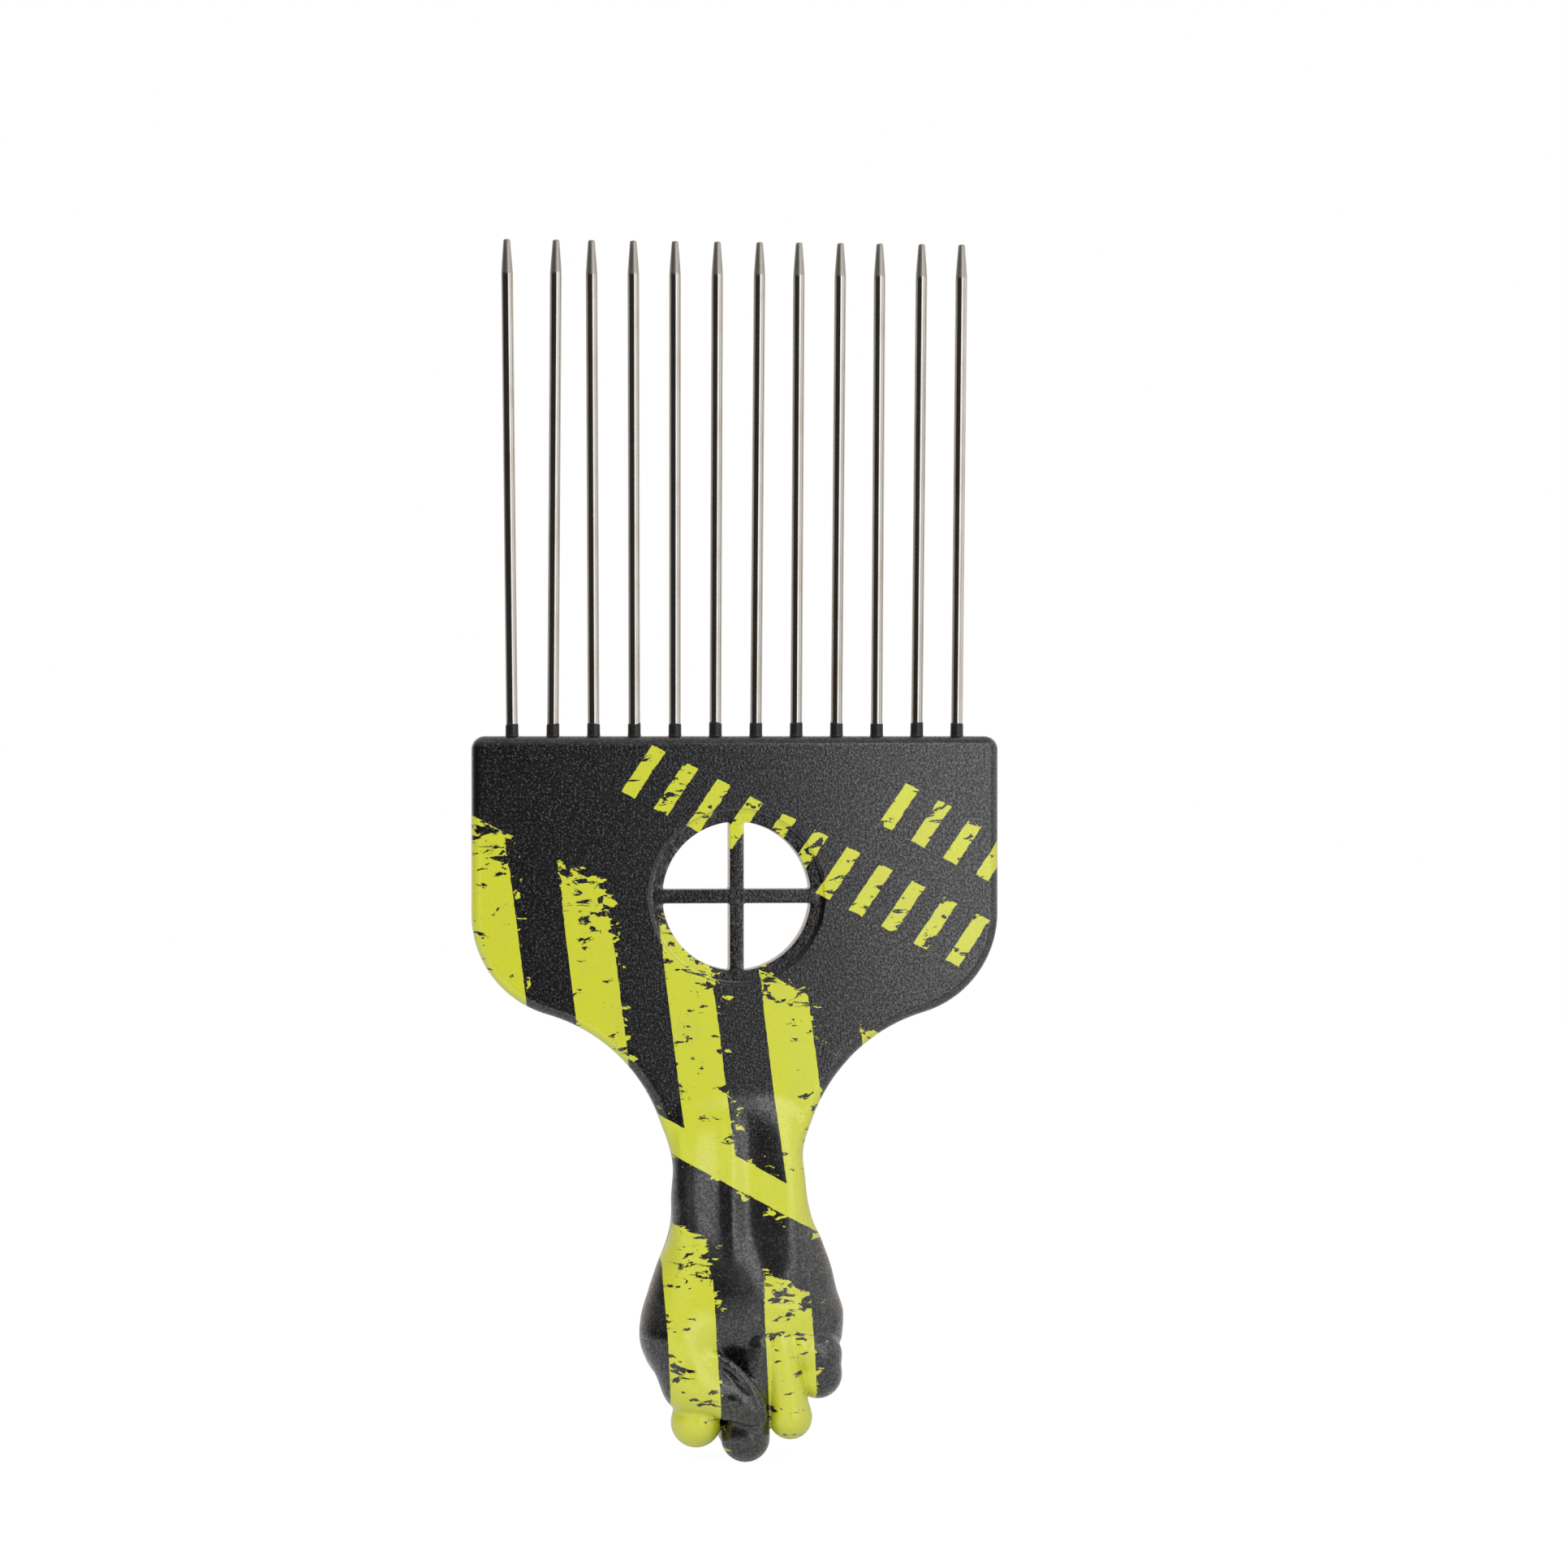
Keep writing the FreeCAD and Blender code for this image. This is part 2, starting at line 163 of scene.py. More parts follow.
class Bench:
    """The node tree of one material or of the world, with one way to add nodes."""

    def __init__(self, tree: bpy.types.NodeTree) -> None:
        """Take over a tree and clear it."""
        self.tree = tree
        tree.nodes.clear()

    @classmethod
    def for_material(cls, name: str) -> tuple["Bench", bpy.types.Material]:
        """Make a material and the bench for its nodes.

        Args:
            name: Name of the material.

        Returns:
            The bench and the material.
        """
        material = bpy.data.materials.new(name)
        material.use_nodes = True
        return cls(material.node_tree), material

    def node(
        self,
        kind: str,
        settings: dict[str, Any] | None = None,
        sockets: dict[str | int, Any] | None = None,
    ) -> bpy.types.Node:
        """Add a node, set it up and feed its sockets.

        Args:
            kind: Node type.
            settings: Properties that are set first.
            sockets: Values, signals or output sockets by input name or number.

        Returns:
            The node.
        """
        node = self.tree.nodes.new(kind)
        for name, value in (settings or {}).items():
            setattr(node, name, value)
        for key, value in (sockets or {}).items():
            if isinstance(value, Signal):
                value = value.socket
            if isinstance(value, bpy.types.NodeSocket):
                self.tree.links.new(value, node.inputs[key])
            else:
                node.inputs[key].default_value = value
        return node

    def math(self, operation: str, *values: Signal | float) -> Signal:
        """Add a Math node over signals and numbers.

        Args:
            operation: The Math node's operation.
            values: Its inputs in order.

        Returns:
            The result.
        """
        node = self.node("ShaderNodeMath", {"operation": operation}, dict(enumerate(values)))
        return Signal(self, node.outputs["Value"])

    def place(self) -> tuple[Signal, Signal, Signal, bpy.types.NodeSocket]:
        """Read the surface point in the part's frame.

        Returns:
            Its x, y and z in millimetres, and the whole vector in millimetres.
        """
        coords = self.node("ShaderNodeTexCoord")
        scaled = self.vector("SCALE", coords.outputs["Object"], scale=1 / MM)
        return *self.split(scaled), scaled

    def split(self, vector: bpy.types.NodeSocket) -> tuple[Signal, Signal, Signal]:
        """Take a vector apart.

        Args:
            vector: The vector.

        Returns:
            Its x, y and z.
        """
        parts = self.node("ShaderNodeSeparateXYZ", None, {"Vector": vector})
        x, y, z = (Signal(self, parts.outputs[name]) for name in "XYZ")
        return x, y, z

    def vector(
        self,
        operation: str,
        *values: Any,
        scale: Signal | float | None = None,
    ) -> bpy.types.NodeSocket:
        """Add a Vector Math node.

        Args:
            operation: Its operation.
            values: Its vector inputs in order.
            scale: Its scale, where the operation has one.

        Returns:
            The resulting vector.
        """
        sockets: dict[str | int, Any] = dict(enumerate(values))
        if scale is not None:
            sockets["Scale"] = scale
        node = self.node("ShaderNodeVectorMath", {"operation": operation}, sockets)
        return node.outputs["Vector"]

    def join(self, x: Signal | float, y: Signal | float, z: Signal | float) -> bpy.types.NodeSocket:
        """Join three values to a vector.

        Args:
            x: Its x.
            y: Its y.
            z: Its z.

        Returns:
            The vector.
        """
        return self.node("ShaderNodeCombineXYZ", None, {"X": x, "Y": y, "Z": z}).outputs["Vector"]

    def noise(
        self,
        vector: bpy.types.NodeSocket,
        size: float,
        detail: float = 2.0,
        roughness: float = 0.5,
        distortion: float = 0.0,
    ) -> Signal:
        """Add a noise over a vector in millimetres.

        Args:
            vector: Where the noise is read.
            size: Size of its largest features in millimetres.
            detail: Number of finer layers.
            roughness: Strength of the finer layers.
            distortion: How far the layers are stirred.

        Returns:
            The noise, about 0.5 on the mean.
        """
        sockets = {
            "Vector": vector,
            "Scale": 1 / size,
            "Detail": detail,
            "Roughness": roughness,
            "Distortion": distortion,
        }
        node = self.node("ShaderNodeTexNoise", {"noise_dimensions": "3D"}, sockets)
        return Signal(self, node.outputs["Fac"])

    def blend(self, factor: Signal | float, first: Any, second: Any) -> bpy.types.NodeSocket:
        """Mix two colours.

        Args:
            factor: Share of the second colour.
            first: Colour or socket at 0.
            second: Colour or socket at 1.

        Returns:
            The mixed colour.
        """
        sockets = {"Factor": factor, 6: first, 7: second}
        node = self.node("ShaderNodeMix", {"data_type": "RGBA"}, sockets)
        return node.outputs[2]

    def bump(self, height: Signal, reach: float, strength: float) -> bpy.types.NodeSocket:
        """Turn a height into a bent normal.

        Args:
            height: Height as a share of reach.
            reach: Full height in millimetres.
            strength: Share of the effect that is used.

        Returns:
            The normal.
        """
        sockets = {"Height": height, "Distance": reach * MM, "Strength": strength}
        return self.node("ShaderNodeBump", None, sockets).outputs["Normal"]

    def rays(self) -> tuple[Signal, Signal]:
        """Tell rays that look straight at something from rays that mirror it.

        Returns:
            1 for rays from the camera or through something clear, and 1 for mirrored rays.
        """
        paths = self.node("ShaderNodeLightPath").outputs
        camera = Signal(self, paths["Is Camera Ray"])
        through = Signal(self, paths["Is Transmission Ray"])
        return camera.at_least(through), Signal(self, paths["Is Glossy Ray"])

    def surface(self, sockets: dict[str | int, Any]) -> None:
        """Close the tree with a principled surface.

        Args:
            sockets: Its inputs.
        """
        shader = self.node("ShaderNodeBsdfPrincipled", None, sockets)
        self.node("ShaderNodeOutputMaterial", None, {"Surface": shader.outputs["BSDF"]})


def linear(red: int, green: int, blue: int) -> Colour:
    """Turn a display colour of 0 to 255 into the linear colour that shaders take.

    Args:
        red: Red.
        green: Green.
        blue: Blue.

    Returns:
        Linear red, green, blue and full alpha.
    """
    shares = (value / 255 for value in (red, green, blue))
    tones = tuple(s / 12.92 if s <= 0.04045 else ((s + 0.055) / 1.055) ** 2.4 for s in shares)
    return (*tones, 1.0)


# Finishes


@dataclass(frozen=True)
class HazardPrint:
    """Layout of the printed tape with slanted bars, in millimetres on the blade's plane."""

    slope: float = 0.54
    tape_height: float = 71.2
    bar_run: float = 28.15
    border_run: float = 4.55
    repeat: float = 41.5
    bar_pitch: float = 14.25
    bar_share: float = 0.499
    bar_start: float = -39.75
    bar_lean: float = 0.132
    hand_lean: float = 0.06
    back_shift: float = 9.0
    back_drop: float = 13.0

    def taped(self, x: Signal, z: Signal) -> tuple[Signal, Signal, Signal]:
        """Find how far a point lies inside the printed bars and border.

        Args:
            x: Place across the blade.
            z: Place along it.

        Returns:
            Depth inside the print in millimetres, negative outside; the run below the tape's top edge; and
            the run below the top edge of the first tape.
        """
        below = self.tape_height - self.slope * x - z
        turn = (below / self.repeat).floor().at_least(0.0)
        run = below - turn * self.repeat
        lean = turn.at_most(1.0) * (self.hand_lean - self.bar_lean) + self.bar_lean
        place = ((x - lean * run - self.bar_start) / self.bar_pitch).fraction()
        half = self.bar_share / 2
        inside_bar = (half - abs(place - half)) * self.bar_pitch
        level = math.cos(math.atan(self.slope))
        inside_run = run.at_most(self.bar_run + self.border_run - run + turn * self.repeat) * level
        inside_border = (run - self.bar_run) * level - turn * self.repeat
        depth = inside_bar.at_least(inside_border).at_most(inside_run)
        return depth, run, below


@dataclass(frozen=True)
class TickPrint:
    """Rows of plain slanted ticks printed above the tape."""

    slope: float = 0.52
    rows: tuple[Row, ...] = ((90.4, 4.4, -14.2, 40.0), (104.2, 3.9, 22.0, 40.0))
    pitch: float = 4.6
    stroke: float = 1.9
    lean: float = -0.5

    def depth(self, x: Signal, z: Signal) -> Signal:
        """Find how far a point lies inside a tick.

        Args:
            x: Place across the blade.
            z: Place along it.

        Returns:
            Depth inside the nearest tick in millimetres, negative outside.
        """
        found: Signal | None = None
        for height, half, start, end in self.rows:
            above = z + self.slope * x - height
            shift = x + self.lean * above - start
            place = (shift / self.pitch).fraction()
            across = self.stroke / 2 - abs(place - self.stroke / 2 / self.pitch) * self.pitch
            inside = across.at_most(half - abs(above)).at_most(shift).at_most(end - x)
            found = inside if found is None else found.at_least(inside)
        return found


@dataclass(frozen=True)
class PrintWear:
    """Where and how finely use has worn the print, in millimetres.

    Pairs are the two ends of a fade, along the run below the tape's top edge unless their name says other.
    Rows of four add the fade's results there. Cuts are thresholds of noise.
    """

    fray_size: float = 1.6
    fray_reach: float = 2.4
    side_line: float = 0.6
    back_layer: float = 40.0
    shard_size: float = 2.1
    shard_stretch: Row = (0.66, 1.0, 1.45)
    speck_size: float = 1.5
    speck_stretch: Row = (0.75, 1.0, 1.3)
    speck_shift: Row = (71.0, 0.0, 33.0)
    patch_size: float = 12.0
    patch_cuts: Row = (0.36, 0.64)
    top: Row = (1.0, 10.0, 1.0, 0.0)
    end_rise: Row = (17.0, 23.0)
    end_fall: Row = (24.0, 29.0, 1.0, 0.0)
    border: Row = (24.5, 28.5, 1.0, 0.05)
    torn: Row = (0.5, 6.0, 1.0, 0.0)
    torn_across: Row = (-4.0, 2.0, 1.0, 0.1)
    zone_all: Row = (0.22, 0.34)
    zone_top: Row = (0.25, 0.65)
    zone_end: float = 0.55
    ragged_all: float = 0.4
    ragged_top: float = 2.4
    ragged_torn: float = 6.0
    loss_top: float = 0.2
    loss_torn: float = 0.7
    chip_cut: float = 0.68
    chip_zone: float = 0.165
    fleck_cut: float = 0.540
    fleck_depth: Row = (0.3, 3.2, 0.06, 0.9)
    fleck_start: Row = (-2.5, 0.5, -1.0, 1.0)
    fleck_patch: float = 0.4
    tick_cut: float = 0.575
    tick_ragged: float = 0.7
    steepness: float = 6.0
    blur: float = 0.045


@dataclass(frozen=True)
class PrintedMoulding:
    """Satin black moulding with an eroded grain whose specks carry painted glints, and a worn yellow print.

    Cuts are the two ends of a fade, and rows of four add its results there. A mix is the shares of the coarse
    and the fine grain.
    """

    black: Colour = linear(9, 9, 10)
    worn_black: Colour = linear(16, 16, 16)
    # painted glint: the lighter grey that grain specks are painted with, standing in for grain that catches
    # the light
    painted_glint: Colour = linear(74, 74, 77)
    yellow: Colour = linear(192, 196, 40)
    thin_yellow: Colour = linear(186, 188, 62)
    cloud_size: float = 9.0
    cloud_cuts: Row = (0.35, 0.75, 0.0, 0.55)
    thin_size: float = 5.2
    thin_cuts: Row = (0.42, 0.78, 0.0, 0.65)
    scuff_size: float = 0.9
    scuff_stretch: Row = (1.0, 1.0, 0.16)
    scuff_cuts: Row = (0.66, 0.80)
    grain_size: float = 0.36
    fine_share: float = 0.42
    grain_height: float = 0.062
    grain_mix: Row = (0.72, 0.28)
    grain_flat: Row = (0.90, 0.995)
    grain_hand: Row = (0.36, 0.38)
    grain_inked: float = 0.42
    ink_height: float = 0.15
    speckle_mix: Row = (0.6, 0.4)
    # painted glints: which grain specks are painted lighter, and how strongly
    painted_glint_cuts: Row = (0.50, 0.66)
    painted_glint_strength: float = 0.75
    coat_cuts: Row = (0.42, 0.58)
    blade_rise: Row = (40.0, 50.0)
    wrist_rise: Row = (22.0, 30.0)
    satin: float = 0.24
    wrist_satin: float = 0.09
    blade_polish: float = 0.07
    cloud_satin: float = 0.06
    ink_satin: float = 0.08
    scuff_satin: float = 0.10
    ior: float = 1.62
    coat_ior: float = 1.60
    coat_roughness: float = 0.20
    tape: HazardPrint = HazardPrint()
    ticks: TickPrint = TickPrint()
    wear: PrintWear = PrintWear()

    def material(self) -> bpy.types.Material:
        """Make the material.

        Returns:
            The material.
        """
        bench, material = Bench.for_material("printed_moulding")
        x, y, z, point = bench.place()
        normal = bench.node("ShaderNodeNewGeometry").outputs["Normal"]
        facing = abs(bench.split(normal)[1])
        ink = self.ink(bench, x, y, z)

        cloud = bench.noise(point, self.cloud_size, 3.0, 0.55)
        coarse = bench.noise(point, self.grain_size, 2.0, 0.6)
        fine = bench.noise(point, self.grain_size * self.fine_share, 1.0, 0.5)
        on_blade = z.ramp(*self.blade_rise)
        wrist = z.ramp(*self.wrist_rise) * (1.0 - on_blade)
        flat = facing.ramp(*self.grain_flat)
        steady, clouded = self.grain_hand
        grain_share = on_blade * flat + (1.0 - on_blade) * (steady + clouded * cloud)
        film = ink.ramp(0.0, 1.0, 1.0, self.grain_inked)
        grain, speckle = (coarse * a + fine * b for a, b in (self.grain_mix, self.speckle_mix))
        height = grain * grain_share * film + ink * self.ink_height
        strokes = bench.vector("MULTIPLY", point, self.scuff_stretch)
        scuff = bench.noise(strokes, self.scuff_size, 4.0, 0.7).ramp(*self.scuff_cuts)

        base = bench.blend(cloud.ramp(*self.cloud_cuts), self.black, self.worn_black)
        # painted glints: grain specks lightened in the base colour as a painted highlight of the grain
        painted_glints = speckle.ramp(*self.painted_glint_cuts) * grain_share
        base = bench.blend(painted_glints * self.painted_glint_strength, base, self.painted_glint)
        thin = bench.noise(point, self.thin_size, 4.0, 0.6).ramp(*self.thin_cuts)
        print_colour = bench.blend(thin, self.yellow, self.thin_yellow)
        colour = bench.blend(ink, base, print_colour)
        roughness = self.satin + self.wrist_satin * wrist - self.blade_polish * on_blade
        roughness = roughness + self.cloud_satin * (cloud - 0.5)
        bench.surface({
            "Base Color": colour,
            "Roughness": roughness + self.ink_satin * ink + self.scuff_satin * scuff,
            "IOR": self.ior,
            "Coat Weight": speckle.ramp(*self.coat_cuts),
            "Coat IOR": self.coat_ior,
            "Coat Roughness": self.coat_roughness,
            "Normal": bench.bump(height, self.grain_height, 1.0),
        })
        return material

    def ink(self, bench: Bench, x: Signal, y: Signal, z: Signal) -> Signal:
        """Work out where the print covers the moulding.

        Args:
            bench: Bench that the nodes go on.
            x: Place across the blade.
            y: Place through it.
            z: Place along it.

        Returns:
            Cover from 0 to 1.
        """
        wear = self.wear
        frayed = bench.noise(bench.join(x, 0.0, z), wear.fray_size, 4.0, 0.6)
        behind = y + (frayed - 0.5) * wear.fray_reach > wear.side_line
        across = x + behind * (self.tape.back_shift - 2.0 * x)
        along = z + behind * self.tape.back_drop
        plane = bench.join(across, behind * wear.back_layer, along)
        depth, run, below = self.tape.taped(across, along)
        ticks = self.ticks.depth(across, along) - behind * wear.back_layer

        stretched = bench.vector("MULTIPLY", plane, wear.shard_stretch)
        shards = bench.noise(stretched, wear.shard_size, 7.0, 0.62, 0.6)
        stretched = bench.vector("MULTIPLY_ADD", plane, wear.speck_stretch, wear.speck_shift)
        specks = bench.noise(stretched, wear.speck_size, 6.0, 0.6, 0.4)
        patches = bench.noise(plane, wear.patch_size, 2.0, 0.5).ramp(*wear.patch_cuts)
        worn_top = run.ramp(*wear.top)
        worn_end = run.ramp(*wear.end_rise) * run.ramp(*wear.end_fall)
        anywhere, at_top = (base + share * patches for base, share in (wear.zone_all, wear.zone_top))
        zone = anywhere + worn_top * at_top + wear.zone_end * worn_end * patches
        zone = zone.at_most(1.0) * run.ramp(*wear.border)
        on_hand = below > self.tape.repeat
        torn = on_hand * run.ramp(*wear.torn) * across.ramp(*wear.torn_across)
        frayed_top = worn_top * patches
        ragged = wear.ragged_all + wear.ragged_top * frayed_top + wear.ragged_torn * torn
        loss = wear.loss_top * frayed_top + wear.loss_torn * torn
        nicked = depth + (shards - 0.5) * ragged - loss
        chipped = (wear.chip_cut - wear.chip_zone * zone - shards) * wear.steepness
        flecks = (specks - wear.fleck_cut) * wear.steepness - (-depth).ramp(*wear.fleck_depth)
        flecks = flecks - (1.0 - patches) * wear.fleck_patch
        taped = nicked.at_most(chipped).at_least(flecks.at_most(below.ramp(*wear.fleck_start)))
        ragged_ticks = ticks + (specks - 0.5) * wear.tick_ragged
        ticked = ragged_ticks.at_most((wear.tick_cut - shards) * wear.steepness)
        return taped.at_least(ticked).ramp(-wear.blur, wear.blur)


@dataclass(frozen=True)
class DrawnWire:
    """Bright drawn steel with fine draw lines and a ground, duller end.

    Cuts are the two ends of a fade. Rows of roughness are the plain surface's and what its marks add.
    """

    steel: Colour = linear(206, 203, 198)
    warm: Colour = linear(196, 188, 178)
    ground: Colour = linear(184, 180, 172)
    ground_start: float = 167.3
    ground_blur: Row = (-0.15, 0.25)
    line_stretch: Row = (9.0, 9.0, 0.12)
    line_size: float = 1.0
    line_depth: float = 0.003
    line_bump: float = 0.4
    stain_stretch: Row = (0.5, 0.5, 0.22)
    stain_size: float = 1.4
    stain_cuts: Row = (0.4, 0.75)
    stain_wander: float = 0.9
    turn_stretch: Row = (1.2, 1.2, 6.0)
    turn_size: float = 0.8
    pit_size: float = 0.30
    pit_cuts: Row = (0.74, 0.84)
    drawn_roughness: Row = (0.14, 0.06, 0.10)
    ground_roughness: Row = (0.42, 0.18)
    drawn_height: Row = (0.35, 0.5)

    def material(self) -> bpy.types.Material:
        """Make the material.

        Returns:
            The material.
        """
        bench, material = Bench.for_material("drawn_wire")
        _, _, z, point = bench.place()
        lines = bench.noise(bench.vector("MULTIPLY", point, self.line_stretch), self.line_size, 4.0, 0.65)
        stain = bench.noise(bench.vector("MULTIPLY", point, self.stain_stretch), self.stain_size, 3.0, 0.6)
        pits = bench.noise(point, self.pit_size, 2.0, 0.5).ramp(*self.pit_cuts)
        low, high = (self.ground_start + shift for shift in self.ground_blur)
        end = (z + (stain - 0.5) * self.stain_wander).ramp(low, high)
        turned = bench.noise(bench.vector("MULTIPLY", point, self.turn_stretch), self.turn_size, 4.0, 0.7)
        shank = bench.blend(stain.ramp(*self.stain_cuts), self.steel, self.warm)
        colour = bench.blend(end, shank, self.ground)
        plain, lined, pitted = self.drawn_roughness
        drawn = plain + lined * (lines - 0.5) + pitted * pits
        plain, grooved = self.ground_roughness
        ground = plain + grooved * (turned - 0.5)
        line_height, pit_height = self.drawn_height
        height = (lines * line_height - pits * pit_height) * (1.0 - end) + end * turned
        bench.surface({
            "Base Color": colour,
            "Metallic": 1.0,
            "Roughness": drawn * (1.0 - end) + end * ground,
            "Normal": bench.bump(height, self.line_depth, self.line_bump),
        })
        return material


@dataclass(frozen=True)
class RootPaint:
    """Black paint film that has run up the roots of the teeth."""

    black: Colour = linear(24, 24, 25)
    thin: Colour = linear(36, 35, 34)
    thin_cuts: Row = (0.5, 0.75, 0.0, 0.7)
    roughness: float = 0.34
    drip_size: float = 0.7
    drip_roughness: float = 0.2
    drip_height: float = 0.02
    drip_bump: float = 0.6

    def material(self) -> bpy.types.Material:
        """Make the material.

        Returns:
            The material.
        """
        bench, material = Bench.for_material("root_paint")
        *_, point = bench.place()
        drips = bench.noise(point, self.drip_size, 3.0, 0.6)
        colour = bench.blend(drips.ramp(*self.thin_cuts), self.black, self.thin)
        bench.surface({
            "Base Color": colour,
            "Roughness": self.roughness + self.drip_roughness * (drips - 0.5),
            "Normal": bench.bump(drips, self.drip_height, self.drip_bump),
        })
        return material


# Mesh tools


@dataclass
class Patchwork:
    """Points in millimetres and faces of a mesh that is being put together."""

    points: list[np.ndarray] = field(default_factory=list)
    faces: list[tuple[int, ...]] = field(default_factory=list)
    count: int = 0

    def add(self, points: np.ndarray, faces: Sequence[Sequence[int]]) -> None:
        """Add a patch.

        Args:
            points: Its points.
            faces: Its faces, by numbers within the patch.
        """
        start = self.count
        self.points.append(points)
        self.faces.extend(tuple(int(index) + start for index in face) for face in faces)
        self.count += len(points)

    def strip(self, rows: Sequence[np.ndarray], closed: bool) -> None:
        """Add a strip of quads through rows of equal length.

        Args:
            rows: Rows of points.
            closed: Whether each row joins up with its own start.
        """
        length = len(rows[0])
        faces = []
        for row in range(len(rows) - 1):
            low, high = row * length, (row + 1) * length
            for spot in range(length if closed else length - 1):
                after = (spot + 1) % length
                faces.append((low + spot, low + after, high + after, high + spot))
        self.add(np.concatenate(rows), faces)

    def fill(self, loops: Sequence[np.ndarray], height: float) -> None:
        """Fill a flat region across the blade's plane with triangles.

        Args:
            loops: Closed loops of x and z; a point is in the region if an odd number of them hold it.
            height: The region's y.
        """
        flat = [Vector(point) for loop in loops for point in loop]
        edges, start = [], 0
        for loop in loops:
            edges += [(start + i, start + (i + 1) % len(loop)) for i in range(len(loop))]
            start += len(loop)
        points, _, faces, *_ = delaunay_2d_cdt(flat, edges, [], 0, 1e-7)
        rows = np.array([(p.x, height, p.y) for p in points])
        centres = np.array([rows[list(face)].mean(0) for face in faces])
        kept = np.zeros(len(centres), bool)
        for loop in loops:
            kept ^= within(loop, centres[:, 0], centres[:, 2])
        self.add(rows, [face for face, keep in zip(faces, kept) if keep])

    def make(self, name: str, weld: float = 0.002, sharp: float = 38.0) -> bpy.types.Object:
        """Weld the patches to one smooth object.

        Args:
            name: Name of the object.
            weld: Distance in millimetres within which points become one.
            sharp: Angle in degrees beyond which an edge stays sharp.

        Returns:
            The object, linked to the scene.
        """
        mesh = bpy.data.meshes.new(name)
        mesh.from_pydata((np.concatenate(self.points) * MM).tolist(), [], self.faces)
        work = bmesh.new()
        work.from_mesh(mesh)
        bmesh.ops.remove_doubles(work, verts=work.verts, dist=weld * MM)
        bmesh.ops.dissolve_degenerate(work, edges=work.edges, dist=weld * MM * 0.1)
        bmesh.ops.recalc_face_normals(work, faces=work.faces)
        work.to_mesh(mesh)
        work.free()
        for polygon in mesh.polygons:
            polygon.use_smooth = True
        mesh.set_sharp_from_angle(angle=math.radians(sharp))
        piece = bpy.data.objects.new(name, mesh)
        bpy.context.scene.collection.objects.link(piece)
        return piece


def upright(flat: np.ndarray, y: float) -> np.ndarray:
    """Stand points that were laid out flat in the blade's plane.

    Args:
        flat: Points as x and z.
        y: Their y.

    Returns:
        Points as x, y and z.
    """
    return np.column_stack((flat[:, 0], np.full(len(flat), y), flat[:, 1]))


def within(loop: np.ndarray, x: np.ndarray, z: np.ndarray) -> np.ndarray:
    """Test which points lie inside a closed loop.

    Args:
        loop: The loop's x and z.
        x: The points' x.
        z: The points' z.

    Returns:
        One truth value per point.
    """
    inside = np.zeros(len(x), bool)
    after = np.roll(loop, -1, axis=0)
    for (ax, az), (bx, bz) in zip(loop, after):
        if az == bz:
            continue
        crosses = (az > z) != (bz > z)
        inside ^= crosses & (x < (bx - ax) * (z - az) / (bz - az) + ax)
    return inside


def weight_normals(piece: bpy.types.Object) -> None:
    """Let the large flat faces set the shading where they run into rounded edges.

    Args:
        piece: The piece that is shaded.
    """
    modifier = piece.modifiers.new("weighted_normals", "WEIGHTED_NORMAL")
    modifier.mode = "FACE_AREA"
    modifier.keep_sharp = True


# Hand


def soft_min(first: np.ndarray, second: np.ndarray, reach: float) -> np.ndarray:
    """Join two distance fields with a rounded valley.

    Args:
        first: Distances to the first form.
        second: Distances to the second form.
        reach: Width of the rounding in millimetres.

    Returns:
        Distances to the joined form.
    """
    share = np.clip(0.5 + 0.5 * (second - first) / reach, 0.0, 1.0)
    return second + (first - second) * share - reach * share * (1.0 - share)


def along_rows(heights: np.ndarray, values: np.ndarray, z: np.ndarray) -> np.ndarray:
    """Run a smooth curve without overshoot through a column of values.

    Args:
        heights: Rising heights of the rows.
        values: One value per row.
        z: Heights at which the curve is read.

    Returns:
        The curve's values.
    """
    steps = np.diff(heights)
    slopes = np.diff(values) / steps
    tangents = np.concatenate(([slopes[0]], np.zeros(len(slopes) - 1), [slopes[-1]]))
    same = slopes[:-1] * slopes[1:] > 0
    total = np.where(same, slopes[:-1] + slopes[1:], 1.0)
    tangents[1:-1] = np.where(same, 2 * slopes[:-1] * slopes[1:] / total, 0.0)
    index = np.clip(np.searchsorted(heights, z) - 1, 0, len(steps) - 1)
    t = np.clip((z - heights[index]) / steps[index], 0.0, 1.0)
    start, end = values[index], values[index + 1]
    first, last = tangents[index] * steps[index], tangents[index + 1] * steps[index]
    t2, t3 = t * t, t * t * t
    return (
        (2 * t3 - 3 * t2 + 1) * start
        + (t3 - 2 * t2 + t) * first
        + (3 * t2 - 2 * t3) * end
        + (t3 - t2) * last
    )


def step(low: float, high: float, value: np.ndarray) -> np.ndarray:
    """Rise smoothly from 0 to 1.

    Args:
        low: Value at which the rise begins.
        high: Value at which it ends.
        value: Where it is read.

    Returns:
        Shares from 0 to 1.
    """
    share = np.clip((value - low) / (high - low), 0.0, 1.0)
    return share * share * (3 - 2 * share)


def limb(x: np.ndarray, y: np.ndarray, z: np.ndarray, joints: Sequence[Row], reach: float) -> np.ndarray:
    """Give distances to a limb: round pieces between joints, softly joined.

    Args:
        x: Points' x.
        y: Points' y.
        z: Points' z.
        joints: Joints as x, y, z and radius.
        reach: Width of the rounding between the pieces.

    Returns:
        Distances, negative inside.
    """
    found = None
    for (ax, ay, az, ar), (bx, by, bz, br) in zip(joints, joints[1:]):
        dx, dy, dz = bx - ax, by - ay, bz - az
        t = ((x - ax) * dx + (y - ay) * dy + (z - az) * dz) / (dx * dx + dy * dy + dz * dz)
        t = np.clip(t, 0.0, 1.0)
        gap = np.sqrt((x - ax - t * dx) ** 2 + (y - ay - t * dy) ** 2 + (z - az - t * dz) ** 2)
        piece = gap - (ar + t * (br - ar))
        found = piece if found is None else soft_min(found, piece, reach)
    return found


